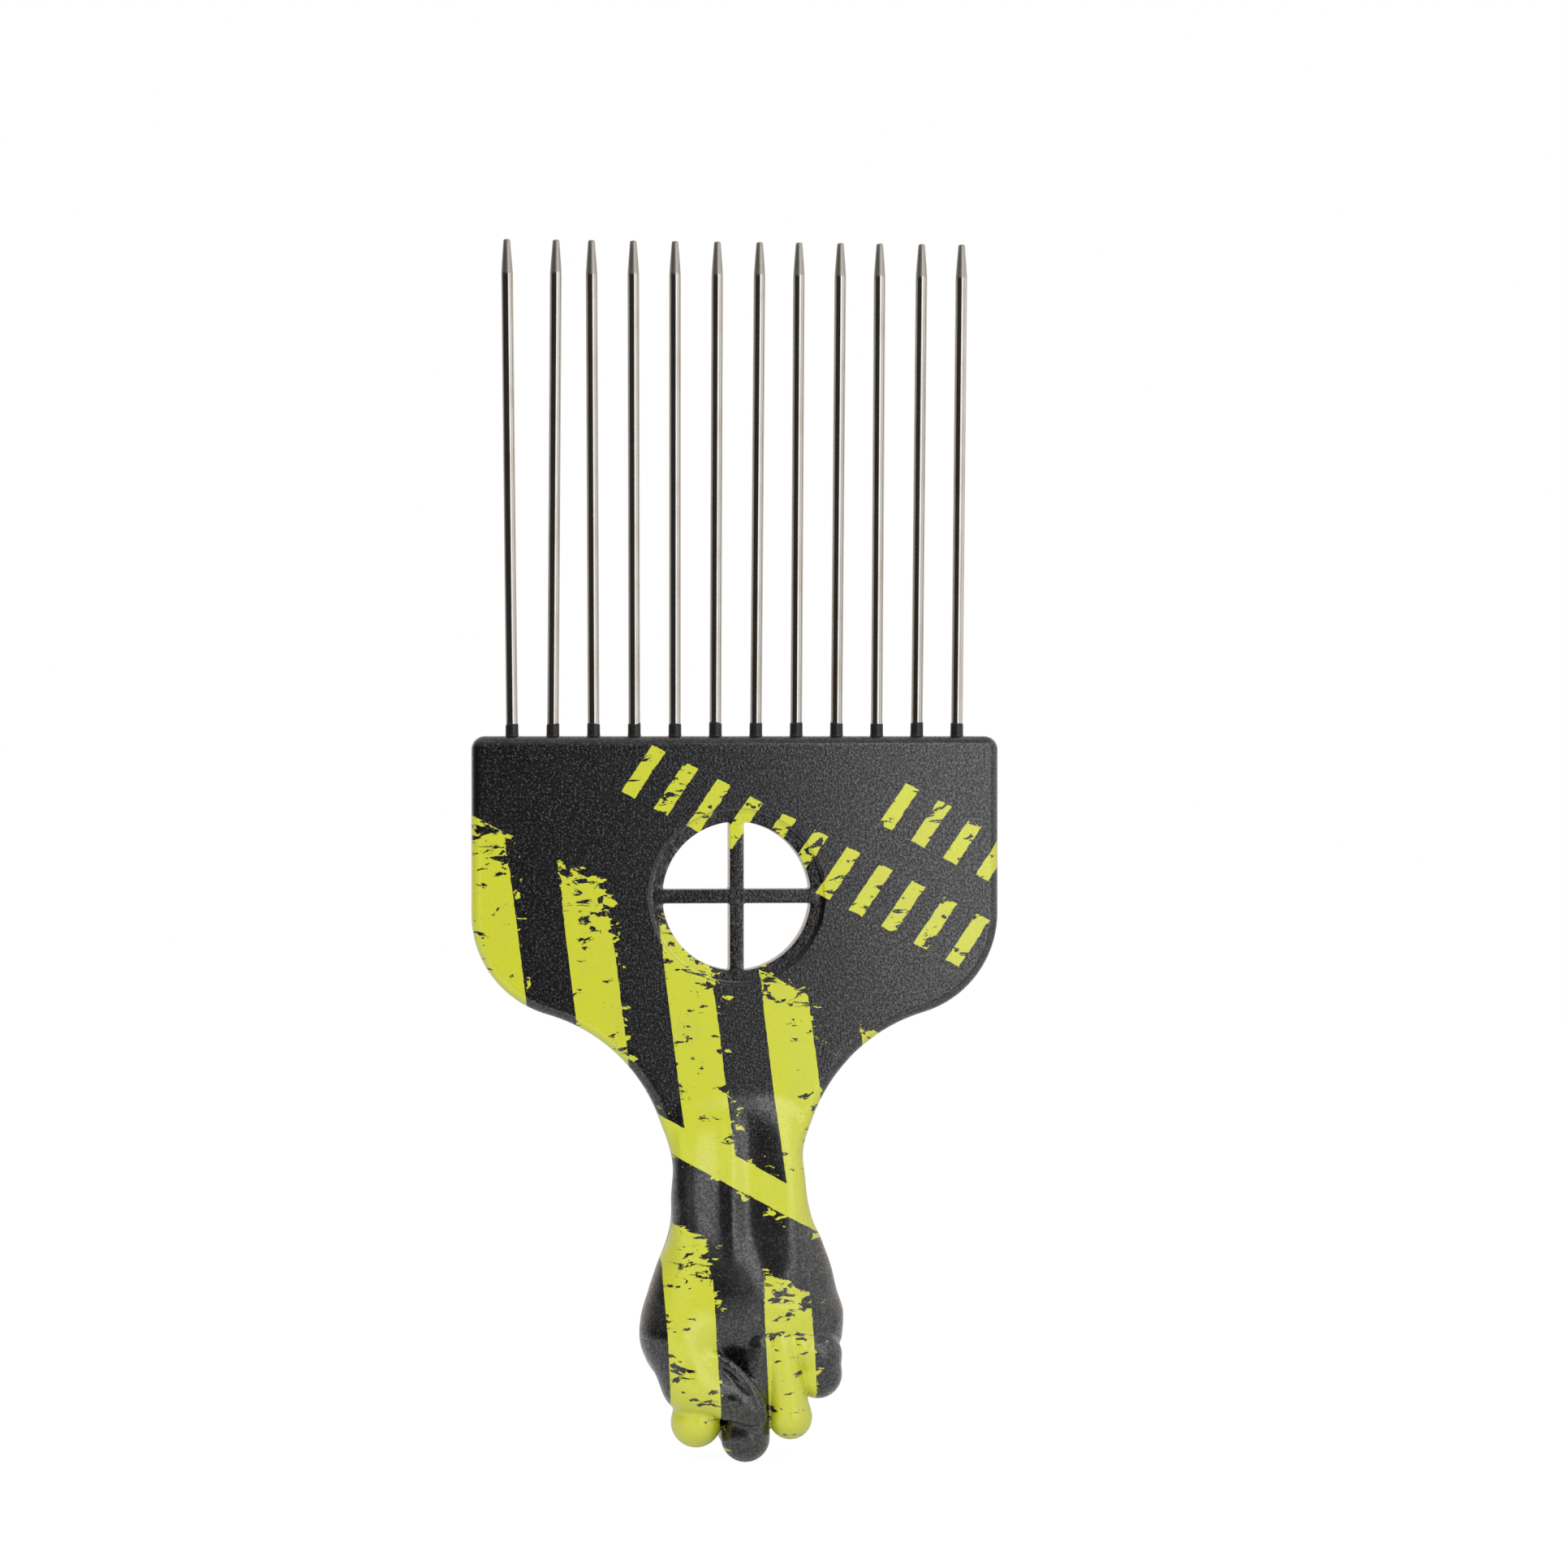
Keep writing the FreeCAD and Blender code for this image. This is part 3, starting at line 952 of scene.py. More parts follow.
def eased(joints: Sequence[Row], steps: int) -> list[Row]:
    """Run a smooth curve through joints.

    Args:
        joints: Joints as rows of numbers.
        steps: Number of pieces between two joints.

    Returns:
        Joints along the curve.
    """
    rows = np.array((joints[0], *joints, joints[-1]))
    curve = []
    for before, start, end, after in zip(rows, rows[1:], rows[2:], rows[3:]):
        for t in np.linspace(0.0, 1.0, steps, endpoint=False):
            square = (2 * before - 5 * start + 4 * end - after) * t * t
            cube = (3 * start - before - 3 * end + after) * t**3
            curve.append(tuple(start + 0.5 * ((end - before) * t + (square + cube))))
    return curve + [tuple(rows[-1])]


@dataclass(frozen=True)
class Hand:
    """The closed right hand and its forearm, as forms that melt into each other.

    Rows of the arm are height, centre, half width, front, back and squareness. Joints are x, y, z and radius.
    Rows of the wrist's relief are x and rise. Pairs are the two ends of a fade.
    """

    arm: tuple[Row, ...] = (
        (6.0, 0.6, 6.0, 1.5, 4.0, 2.2),
        (9.5, 0.7, 9.6, 2.6, 6.6, 2.3),
        (13.5, 0.5, 12.8, 4.0, 7.8, 2.4),
        (17.1, 1.2, 14.0, 6.0, 8.1, 2.4),
        (20.5, 1.1, 14.2, 7.3, 7.9, 2.4),
        (24.0, 1.0, 13.3, 7.4, 7.5, 2.35),
        (27.4, 1.15, 12.3, 6.9, 7.0, 2.7),
        (30.9, 1.2, 10.95, 6.2, 6.5, 3.5),
        (34.3, 0.8, 9.85, 5.5, 5.9, 4.2),
        (37.7, 0.45, 9.45, 5.1, 5.4, 4.6),
        (41.0, 0.4, 9.1, 4.7, 5.0, 4.4),
        (45.0, 0.15, 8.3, 3.9, 4.0, 3.8),
        (50.0, 0.0, 7.2, 2.9, 3.0, 2.8),
        (58.0, 0.0, 5.0, 1.8, 1.8, 2.0),
    )
    fingers: tuple[tuple[Row, ...], ...] = (
        ((-5.2, 4.7, 5.8, 3.4), (-5.85, -2.7, 5.7, 3.42), (-4.8, -2.8, 13.0, 3.1)),
        ((0.9, 5.3, 4.0, 3.35), (1.05, -3.4, 3.5, 3.28), (2.85, -4.5, 16.6, 2.4)),
        ((7.0, 5.0, 6.7, 3.2), (7.35, -3.9, 6.35, 2.95), (5.85, -4.6, 16.5, 2.45)),
        ((11.2, 3.6, 12.8, 3.15), (11.4, -2.5, 12.2, 3.3), (11.4, -3.2, 15.1, 3.2), (8.8, -4.3, 16.4, 2.4)),
    )
    thenar: tuple[Row, ...] = ((-6.4, -1.4, 26.0, 3.9), (-8.3, -2.6, 17.8, 5.0), (-6.3, -3.3, 11.8, 4.6))
    thumb: tuple[Row, ...] = (
        (-7.6, -2.9, 16.0, 4.9),
        (-5.9, -3.5, 11.6, 4.7),
        (0.2, -5.2, 8.7, 2.9),
        (1.5, -6.0, 7.3, 1.95),
    )
    thumb_ridge: tuple[Row, ...] = (
        (-4.6, -6.2, 15.6, 0.9),
        (-1.5, -7.0, 14.2, 0.8),
        (0.7, -7.1, 12.0, 0.75),
        (2.2, -7.1, 9.9, 0.7),
        (2.9, -7.0, 8.0, 0.7),
        (3.1, -6.7, 6.4, 0.6),
    )
    wrist_relief: tuple[Row, ...] = (
        (-9.8, 0.0),
        (-8.3, 0.70),
        (-6.7, 0.32),
        (-2.6, -0.45),
        (-1.1, 0.12),
        (1.5, -0.52),
        (7.7, 0.55),
        (10.0, 0.0),
    )
    relief_foot: Row = (27.0, 34.0)
    relief_head: Row = (51.0, 45.0)
    relief_depth: Row = (0.0, -3.0)
    relief_dip: float = 4.5
    relief_dip_across: Row = (0.5, 4.0)
    back_cords: tuple[tuple[Row, ...], ...] = (
        ((-1.5, 3.4, 34.0, 1.2), (-4.4, 5.6, 18.0, 1.6), (-5.0, 4.9, 8.0, 2.0)),
        ((0.3, 3.6, 34.0, 1.2), (0.7, 6.2, 18.0, 1.6), (1.0, 5.6, 7.0, 2.0)),
        ((2.4, 3.4, 34.0, 1.2), (5.6, 5.6, 18.0, 1.6), (7.2, 5.2, 9.0, 2.0)),
    )
    furrows: tuple[tuple[Row, ...], ...] = (
        ((3.0, -8.5, 20.9, 1.3), (6.0, -8.5, 19.9, 1.3), (10.4, -7.8, 19.5, 1.3), (14.0, -5.4, 19.2, 1.3)),
        ((-2.0, -9.5, 15.2, 2.6), (2.4, -9.3, 17.9, 2.6)),
    )
    grid_step: float = 0.28
    grid_low: Row = (-17.5, -9.6, -0.9)
    grid_high: Row = (17.5, 9.6)
    ridge_steps: int = 3
    cord_reach: float = 1.6
    furrow_reach: float = 1.0
    thenar_reach: float = 2.4
    joint_reach: float = 0.6
    finger_reach: float = 0.4
    palm_reach: float = 0.6
    blade_reach: float = 2.4

    def forearm(self, x: np.ndarray, y: np.ndarray, z: np.ndarray) -> np.ndarray:
        """Give distances to the loft from the blade's neck to the finger roots.

        Args:
            x: Points' x.
            y: Points' y.
            z: Points' z.

        Returns:
            Distances, negative inside.
        """
        rows = np.array(self.arm)
        centre, half, front, back, power = (along_rows(rows[:, 0], rows[:, i], z) for i in range(1, 6))
        deep = (front + back) / 2
        across = np.abs(x - centre) / half
        through = np.abs(y - (back - front) / 2) / deep
        level = np.maximum((across**power + through**power) ** (1 / power), 1e-4)
        slope = np.hypot((across / level) ** (power - 1) / half, (through / level) ** (power - 1) / deep)
        body = (level - 1.0) / np.maximum(slope, 1e-4)
        columns = np.array(self.wrist_relief)
        dip = self.relief_dip * step(*self.relief_dip_across, x)
        fade = step(*self.relief_foot, z + dip) * step(*self.relief_head, z)
        relief = along_rows(columns[:, 0], columns[:, 1], x) * fade
        return np.maximum(body - relief * step(*self.relief_depth, y), self.arm[0][0] - z)

    def distance(self, x: np.ndarray, y: np.ndarray, z: np.ndarray) -> np.ndarray:
        """Give distances to the whole hand.

        Args:
            x: Points' x.
            y: Points' y.
            z: Points' z.

        Returns:
            Distances, negative inside.
        """
        body = self.forearm(x, y, z)
        for joints in self.back_cords:
            body = soft_min(body, limb(x, y, z, joints, self.cord_reach), self.cord_reach)
        body = soft_min(body, limb(x, y, z, self.thenar, self.cord_reach), self.thenar_reach)
        for joints in self.furrows:
            body = -soft_min(-body, limb(x, y, z, joints, self.furrow_reach), self.furrow_reach)
        fist = None
        for joints in self.fingers:
            finger = limb(x, y, z, joints, self.joint_reach)
            fist = finger if fist is None else soft_min(fist, finger, self.finger_reach)
        body = soft_min(body, fist, self.palm_reach)
        thumb = limb(x, y, z, self.thumb, self.furrow_reach)
        ridge = limb(x, y, z, eased(self.thumb_ridge, self.ridge_steps), self.joint_reach / 3)
        return soft_min(body, soft_min(thumb, ridge, self.furrow_reach), self.finger_reach)


@dataclass
class NetMesh:
    """A mesh drawn round the inside of a distance field on a regular grid."""

    field_of: Field
    low: Row
    high: Row
    step: float
    relax_rounds: int = 3
    settle_rounds: int = 2
    probe_share: float = 0.2
    least_slope: float = 0.05

    def draw(self) -> tuple[np.ndarray, np.ndarray]:
        """Put one point in each grid cell that the surface crosses and join them to quads.

        Returns:
            The points in millimetres and the quads.
        """
        axes = [np.arange(low, high + self.step / 2, self.step) for low, high in zip(self.low, self.high)]
        x, y, z = np.meshgrid(*axes, indexing="ij", sparse=True)
        values = self.field_of(x, y, z)
        shape = values.shape
        total = np.zeros((*(n - 1 for n in shape), 3))
        count = np.zeros([n - 1 for n in shape])
        crossings = []
        for axis in range(3):
            here = [slice(None)] * 3
            there = [slice(None)] * 3
            here[axis], there[axis] = slice(0, -1), slice(1, None)
            start, end = values[tuple(here)], values[tuple(there)]
            crossed = np.argwhere((start < 0) != (end < 0))
            a = start[tuple(crossed.T)]
            b = end[tuple(crossed.T)]
            spot = crossed.astype(float)
            spot[:, axis] += a / (a - b)
            others = [i for i in range(3) if i != axis]
            for corner in ((0, 0), (0, -1), (-1, 0), (-1, -1)):
                cell = self.beside(crossed, others, corner)
                fits = np.all((cell >= 0) & (cell < np.array(count.shape)), axis=1)
                np.add.at(total, tuple(cell[fits].T), spot[fits])
                np.add.at(count, tuple(cell[fits].T), 1.0)
            crossings.append((axis, others, crossed, a < 0))
        number = np.full(count.shape, -1, np.int64)
        used = count > 0
        number[used] = np.arange(used.sum())
        points = total[used] / count[used][:, None] * self.step + np.array([axis[0] for axis in axes])
        quads = []
        for axis, others, crossed, inward in crossings:
            inner = np.all([(crossed[:, o] > 0) & (crossed[:, o] < count.shape[o]) for o in others], axis=0)
            ring = []
            for corner in ((0, 0), (-1, 0), (-1, -1), (0, -1)):
                ring.append(number[tuple(self.beside(crossed[inner], others, corner).T)])
            ring = np.stack(ring, axis=1)
            flip = inward[inner] if axis != 1 else ~inward[inner]
            ring[flip] = ring[flip][:, ::-1]
            quads.append(ring)
        return self.relax(points, np.concatenate(quads))

    def beside(self, edges: np.ndarray, axes: Sequence[int], corner: tuple[int, int]) -> np.ndarray:
        """Find the cells on one side of grid edges.

        Args:
            edges: Grid places where the edges start.
            axes: The two axes across the edges.
            corner: Steps along these axes.

        Returns:
            Grid places of the cells.
        """
        cells = edges.copy()
        cells[:, axes] += corner
        return cells

    def relax(self, points: np.ndarray, quads: np.ndarray) -> tuple[np.ndarray, np.ndarray]:
        """Even out the points and settle them on the surface.

        Args:
            points: The points.
            quads: The quads.

        Returns:
            The settled points and the quads.
        """
        ends = np.concatenate([quads[:, [i, (i + 1) % 4]] for i in range(4)])
        for _ in range(self.relax_rounds):
            total = np.zeros_like(points)
            count = np.zeros(len(points))
            for one, other in ((0, 1), (1, 0)):
                np.add.at(total, ends[:, one], points[ends[:, other]])
                np.add.at(count, ends[:, one], 1.0)
            points = points * 0.5 + total / count[:, None] * 0.5
            points = self.settle(points)
        return points, quads

    def settle(self, points: np.ndarray) -> np.ndarray:
        """Move points along the field's slope onto its surface.

        Args:
            points: Points near the surface.

        Returns:
            Points on the surface.
        """
        probe = self.step * self.probe_share
        for _ in range(self.settle_rounds):
            value = self.field_of(*points.T)
            slope = np.empty_like(points)
            for axis in range(3):
                offset = np.zeros(3)
                offset[axis] = probe
                ahead = self.field_of(*(points + offset).T)
                behind = self.field_of(*(points - offset).T)
                slope[:, axis] = (ahead - behind) / (2 * probe)
            size = np.maximum((slope**2).sum(1), self.least_slope)
            move = -(value / size)[:, None] * slope
            length = np.linalg.norm(move, axis=1, keepdims=True)
            points = points + move * np.minimum(1.0, self.step / np.maximum(length, 1e-9))
        return points


def open_loop(quads: np.ndarray) -> np.ndarray:
    """Find the points on the open border of a quad mesh.

    Args:
        quads: The quads.

    Returns:
        Numbers of the border's points.
    """
    ends = np.sort(np.concatenate([quads[:, [i, (i + 1) % 4]] for i in range(4)]), axis=1)
    pairs, uses = np.unique(ends, axis=0, return_counts=True)
    return np.unique(pairs[uses == 1])


# Handle


@dataclass
class Handle:
    """The moulding: a flat blade with a ring and a cross, a swept neck and a fist.

    Rows of a lip or a foot are steps out and up, as shares of the small rounding named crisp.
    """

    half_width: float = 37.3
    top: float = 102.3
    half_thick: float = 2.5
    corner: float = 1.9
    edge: float = 1.5
    draft: float = 0.04
    shoulder_height: float = 77.25
    shoulder: float = 14.75
    sweep: float = 24.0
    neck: float = 9.4
    seam_height: float = 57.0
    ring_height: float = 79.7
    opening: float = 10.5
    recess: float = 12.4
    recess_depth: float = 0.6
    recess_slope: float = 25.0
    bar: float = 1.0
    opening_corner: float = 0.3
    crisp: float = 0.2
    recess_lip: tuple[Row, ...] = ((1.0, 0.0), (0.3, -0.25), (-0.3, -1.0))
    recess_foot: tuple[Row, ...] = ((1.0, 0.9), (0.1, 0.2), (-0.9, 0.0))
    opening_lip: tuple[Row, ...] = ((1.0, 0.0), (0.35, -0.2), (0.0, -1.0))
    mark_place: float = 10.975
    mark_depth: float = 0.12
    mark_margin: float = 0.06
    mark_wall: float = 0.07
    mark_core: float = 0.5
    mark_crown: float = 0.9
    sweep_step: float = 0.9
    shoulder_step: float = 0.7
    corner_step: float = 0.25
    side_points: int = 9
    top_points: int = 14
    edge_points: int = 9
    seam_points: int = 41
    ring_points: int = 96
    quarter_points: tuple[int, ...] = (5, 6, 26, 6)
    mark_points: int = 24
    tuck_start: float = 8.0
    tuck_run: float = 7.0
    tuck_depth: float = 2.0
    slab_end: float = 0.5
    hand_fade: Row = (49.0, 55.5)
    hand_sink: float = 4.0
    seam_gap: float = 0.5
    seam_flare: float = 6.0
    hand: Hand = field(default_factory=Hand)
    finish: PrintedMoulding = field(default_factory=PrintedMoulding)

    def __post_init__(self) -> None:
        """Work out where the shoulder runs into the neck."""
        self.shoulder_centre = np.array((self.half_width - self.shoulder, self.shoulder_height))
        across = self.neck + self.sweep - self.shoulder_centre[0]
        drop = math.sqrt((self.shoulder + self.sweep) ** 2 - across**2)
        self.sweep_centre = self.shoulder_centre + (across, -drop)
        self.turn = math.atan2(drop, across)

    def half_outline(self) -> tuple[np.ndarray, np.ndarray]:
        """Lay points along the right half of the outline, from the neck to the top's middle.

        Returns:
            The points and their inward normals.
        """
        points, normals = [], []

        def arc(
            centre: np.ndarray, radius: float, start: float, end: float, spacing: float, bulge: int
        ) -> None:
            """Add an arc whose inside is towards its centre where bulge is 1."""
            count = max(3, round(abs(end - start) * radius / spacing))
            for angle in np.linspace(start, end, count + 1):
                out = np.array((math.cos(angle), math.sin(angle)))
                points.append(centre + out * radius)
                normals.append(-out * bulge)

        low = math.asin((self.seam_height - self.sweep_centre[1]) / self.sweep)
        arc(self.sweep_centre, self.sweep, math.pi - low, math.pi - self.turn, self.sweep_step, -1)
        arc(self.shoulder_centre, self.shoulder, -self.turn, 0.0, self.shoulder_step, 1)
        for z in np.linspace(self.shoulder_height, self.top - self.corner, self.side_points)[1:-1]:
            points.append(np.array((self.half_width, z)))
            normals.append(np.array((-1.0, 0.0)))
        corner = np.array((self.half_width - self.corner, self.top - self.corner))
        arc(corner, self.corner, 0.0, math.pi / 2, self.corner_step, 1)
        for x in np.linspace(corner[0], 0.0, self.top_points)[1:]:
            points.append(np.array((x, self.top)))
            normals.append(np.array((0.0, -1.0)))
        return np.array(points), np.array(normals)

    def outline(self) -> tuple[np.ndarray, np.ndarray]:
        """Lay points along the whole outline, from the neck's right side over the top to its left side.

        Returns:
            The points and their inward normals.
        """
        points, normals = self.half_outline()
        flip = np.array((-1.0, 1.0))
        whole = np.concatenate((points, points[-2::-1] * flip))
        inward = np.concatenate((normals, normals[-2::-1] * flip))
        keep = np.concatenate(([True], np.linalg.norm(np.diff(whole, axis=0), axis=1) > 1e-6))
        return whole[keep], inward[keep]

    def profile(self) -> list[tuple[float, float]]:
        """Lay steps round the blade's rounded edge, from the front face to the back.

        Returns:
            Inset and y of each step.
        """
        flat = self.half_thick - self.edge
        turns = np.linspace(math.pi / 2, 0.0, self.edge_points)
        front = [(self.edge * (1 - math.cos(a)), -flat - self.edge * math.sin(a)) for a in turns]
        front = [(inset + self.draft * (1 - (abs(y) - flat) / self.edge), y) for inset, y in front]
        back = [(inset, -y) for inset, y in reversed(front)]
        return front + [(0.0, 0.0)] + back

    def quarter(self) -> tuple[np.ndarray, np.ndarray]:
        """Lay points round the first quarter of the opening.

        Returns:
            The points about the ring's centre and the normals that lead out of the opening.
        """
        corner, bar, radius = self.opening_corner, self.bar, self.opening
        near = bar + corner
        far = math.sqrt((radius - corner) ** 2 - near**2)
        lean = math.atan2(near, far)
        arcs = (
            ((near, near), corner, math.pi, 1.5 * math.pi),
            ((far, near), corner, -math.pi / 2, lean),
            ((0.0, 0.0), radius, lean, math.pi / 2 - lean),
            ((near, far), corner, math.pi / 2 - lean, math.pi),
        )
        points, normals = [], []
        for (centre, size, start, end), count in zip(arcs, self.quarter_points):
            for angle in np.linspace(start, end, count):
                out = np.array((math.cos(angle), math.sin(angle)))
                points.append(np.array(centre) + out * size)
                normals.append(out)
        return np.array(points), np.array(normals)

    def circle(self, radius: float, count: int, centre: Row = (0.0, 0.0)) -> np.ndarray:
        """Lay points round a circle about the ring's centre.

        Args:
            radius: The circle's radius.
            count: Number of points.
            centre: Its centre from the ring's centre.

        Returns:
            Points as x and z.
        """
        angles = np.linspace(0.0, 2 * math.pi, count, endpoint=False)
        ring = np.stack((np.cos(angles), np.sin(angles)), axis=1) * radius
        return ring + np.array(centre) + (0.0, self.ring_height)

    def build_ring(self, patches: Patchwork, side: Side) -> np.ndarray:
        """Build the recess with its cross on one face, down to the middle of the blade.

        Args:
            patches: Where the patches go.
            side: The face.

        Returns:
            The recess's rim in the face, as x and z.
        """
        sign = side.value
        face, floor = self.half_thick, self.half_thick - self.recess_depth
        narrow = self.recess_depth * math.tan(math.radians(self.recess_slope))
        soft = self.crisp
        steps = [(self.recess + soft * out, face + soft * up) for out, up in self.recess_lip]
        steps += [(self.recess - narrow + soft * out, floor + soft * up) for out, up in self.recess_foot]
        rows = [upright(self.circle(radius, self.ring_points), sign * y) for radius, y in steps]
        patches.strip(rows, closed=True)
        loops = [self.circle(steps[-1][0], self.ring_points)]

        points, normals = self.quarter()
        lift = np.array((0.0, self.ring_height))
        walls = [(soft * grow, floor + soft * up) for grow, up in self.opening_lip] + [(0.0, 0.0)]
        for turn in range(4):
            c, s = math.cos(turn * math.pi / 2), math.sin(turn * math.pi / 2)
            spin = np.array(((c, s), (-s, c)))
            around, out = points @ spin, normals @ spin
            rows = [upright(around + out * grow + lift, sign * y) for grow, y in walls]
            patches.strip(rows, closed=True)
            loops.append(around + out * soft + lift)
            if side is Side.FRONT:
                loops.append(self.build_mark(patches, turn))
        patches.fill(loops, sign * floor)
        return self.circle(steps[0][0], self.ring_points)

    def build_mark(self, patches: Patchwork, turn: int) -> np.ndarray:
        """Build one round mark that an ejector pin has left on the ring.

        Args:
            patches: Where the patches go.
            turn: Which of the four marks.

        Returns:
            The mark's rim, as x and z.
        """
        angle = turn * math.pi / 2
        centre = (math.cos(angle) * self.mark_place, math.sin(angle) * self.mark_place)
        floor = self.half_thick - self.recess_depth
        rim, deep = self.bar - self.mark_margin, floor - self.mark_depth
        crown = floor - self.mark_depth * self.mark_crown
        steps = ((rim, floor), (rim - self.mark_wall, deep), (rim * self.mark_core, crown))
        rows = [upright(self.circle(radius, self.mark_points, centre), -y) for radius, y in steps]
        patches.strip(rows, closed=True)
        patches.add(rows[-1], [range(self.mark_points)])
        return self.circle(rim, self.mark_points, centre)

    def build_blade(self, patches: Patchwork) -> np.ndarray:
        """Build the blade down to the seam with the hand.

        Args:
            patches: Where the patches go.

        Returns:
            The blade's open border at the seam, in order.
        """
        points, normals = self.outline()
        rows = [upright(points + normals * inset, y) for inset, y in self.profile()]
        patches.strip(rows, closed=False)
        right = [row[0] for row in rows]
        left = [row[-1] for row in rows]
        border = []
        for row, side in ((rows[0], Side.FRONT), (rows[-1], Side.BACK)):
            shares = np.linspace(0.0, 1.0, self.seam_points)[1:-1, None]
            lower = row[-1] + (row[0] - row[-1]) * shares
            loop = np.concatenate((row[:, [0, 2]], lower[:, [0, 2]]))
            patches.fill([loop, self.build_ring(patches, side)], side.value * self.half_thick)
            border.append(lower)
        return np.concatenate((right, border[1][::-1], left[::-1], border[0]))

    def slab(self, x: np.ndarray, y: np.ndarray, z: np.ndarray) -> np.ndarray:
        """Give distances to the blade's neck.

        Args:
            x: Points' x.
            y: Points' y.
            z: Points' z.

        Returns:
            Distances, negative inside.
        """
        cx, cz = self.sweep_centre
        side = self.sweep - np.hypot(np.abs(x) - cx, z - cz)
        low = np.clip((cz + self.tuck_start - z) / self.tuck_run, 0.0, 2.0)
        out = np.maximum(side + self.tuck_depth * low * low, cz + self.slab_end - z) + self.edge
        through = np.abs(y) - (self.half_thick - self.edge)
        rounded = np.hypot(np.maximum(out, 0.0), np.maximum(through, 0.0))
        return np.minimum(np.maximum(out, through), 0.0) + rounded - self.edge

    def flesh(self, x: np.ndarray, y: np.ndarray, z: np.ndarray) -> np.ndarray:
        """Give distances to hand and neck, which fade into the bare blade at the seam.

        Args:
            x: Points' x.
            y: Points' y.
            z: Points' z.

        Returns:
            Distances, negative inside.
        """
        hand = self.hand.distance(x, y, z) + self.hand_sink * step(*self.hand_fade, z)
        return soft_min(hand, self.slab(x, y, z), self.hand.blade_reach)

    def build_hand(self, patches: Patchwork, border: np.ndarray) -> None:
        """Build the hand and close the seam between it and the blade.

        Args:
            patches: Where the patches go.
            border: The blade's open border.
        """
        high = (*self.hand.grid_high, self.seam_height - self.seam_gap)
        points, quads = NetMesh(self.flesh, self.hand.grid_low, high, self.hand.grid_step).draw()
        points[:, 2] = np.maximum(points[:, 2], 0.0)
        patches.add(points, quads)
        rim = points[open_loop(quads)]
        self.close_seam(patches, rim, border)

    def close_seam(self, patches: Patchwork, lower: np.ndarray, upper: np.ndarray) -> None:
        """Join two rings of points that run round the neck with a band of triangles.

        Args:
            patches: Where the band goes.
            lower: Points of the lower ring in any order.
            upper: Points of the upper ring in any order.
        """
        rings = []
        for ring in (lower, upper):
            angle = np.arctan2(ring[:, 1] / self.half_thick, ring[:, 0] / (self.neck + self.seam_flare))
            order = np.argsort(angle)
            rings.append((ring[order], angle[order]))
        (low, low_angle), (high, high_angle) = rings
        count = len(low)
        faces = []
        i = j = 0
        while i < len(low) or j < len(high):
            next_low = low_angle[i + 1] if i + 1 < len(low) else low_angle[0] + 2 * math.pi
            next_high = high_angle[j + 1] if j + 1 < len(high) else high_angle[0] + 2 * math.pi
            a, b = i % len(low), j % len(high)
            if j >= len(high) or (i < len(low) and next_low <= next_high):
                faces.append((a, (i + 1) % len(low), count + b))
                i += 1
            else:
                faces.append((a, count + (j + 1) % len(high), count + b))
                j += 1
        patches.add(np.concatenate((low, high)), faces)

    def build(self) -> bpy.types.Object:
        """Build and dress the moulding.

        Returns:
            The piece.
        """
        patches = Patchwork()
        border = self.build_blade(patches)
        self.build_hand(patches, border)
        piece = patches.make("handle_moulding")
        weight_normals(piece)
        piece.data.materials.append(self.finish.material())
        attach(piece, BODY)
        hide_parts("handle")
        return piece


# Teeth


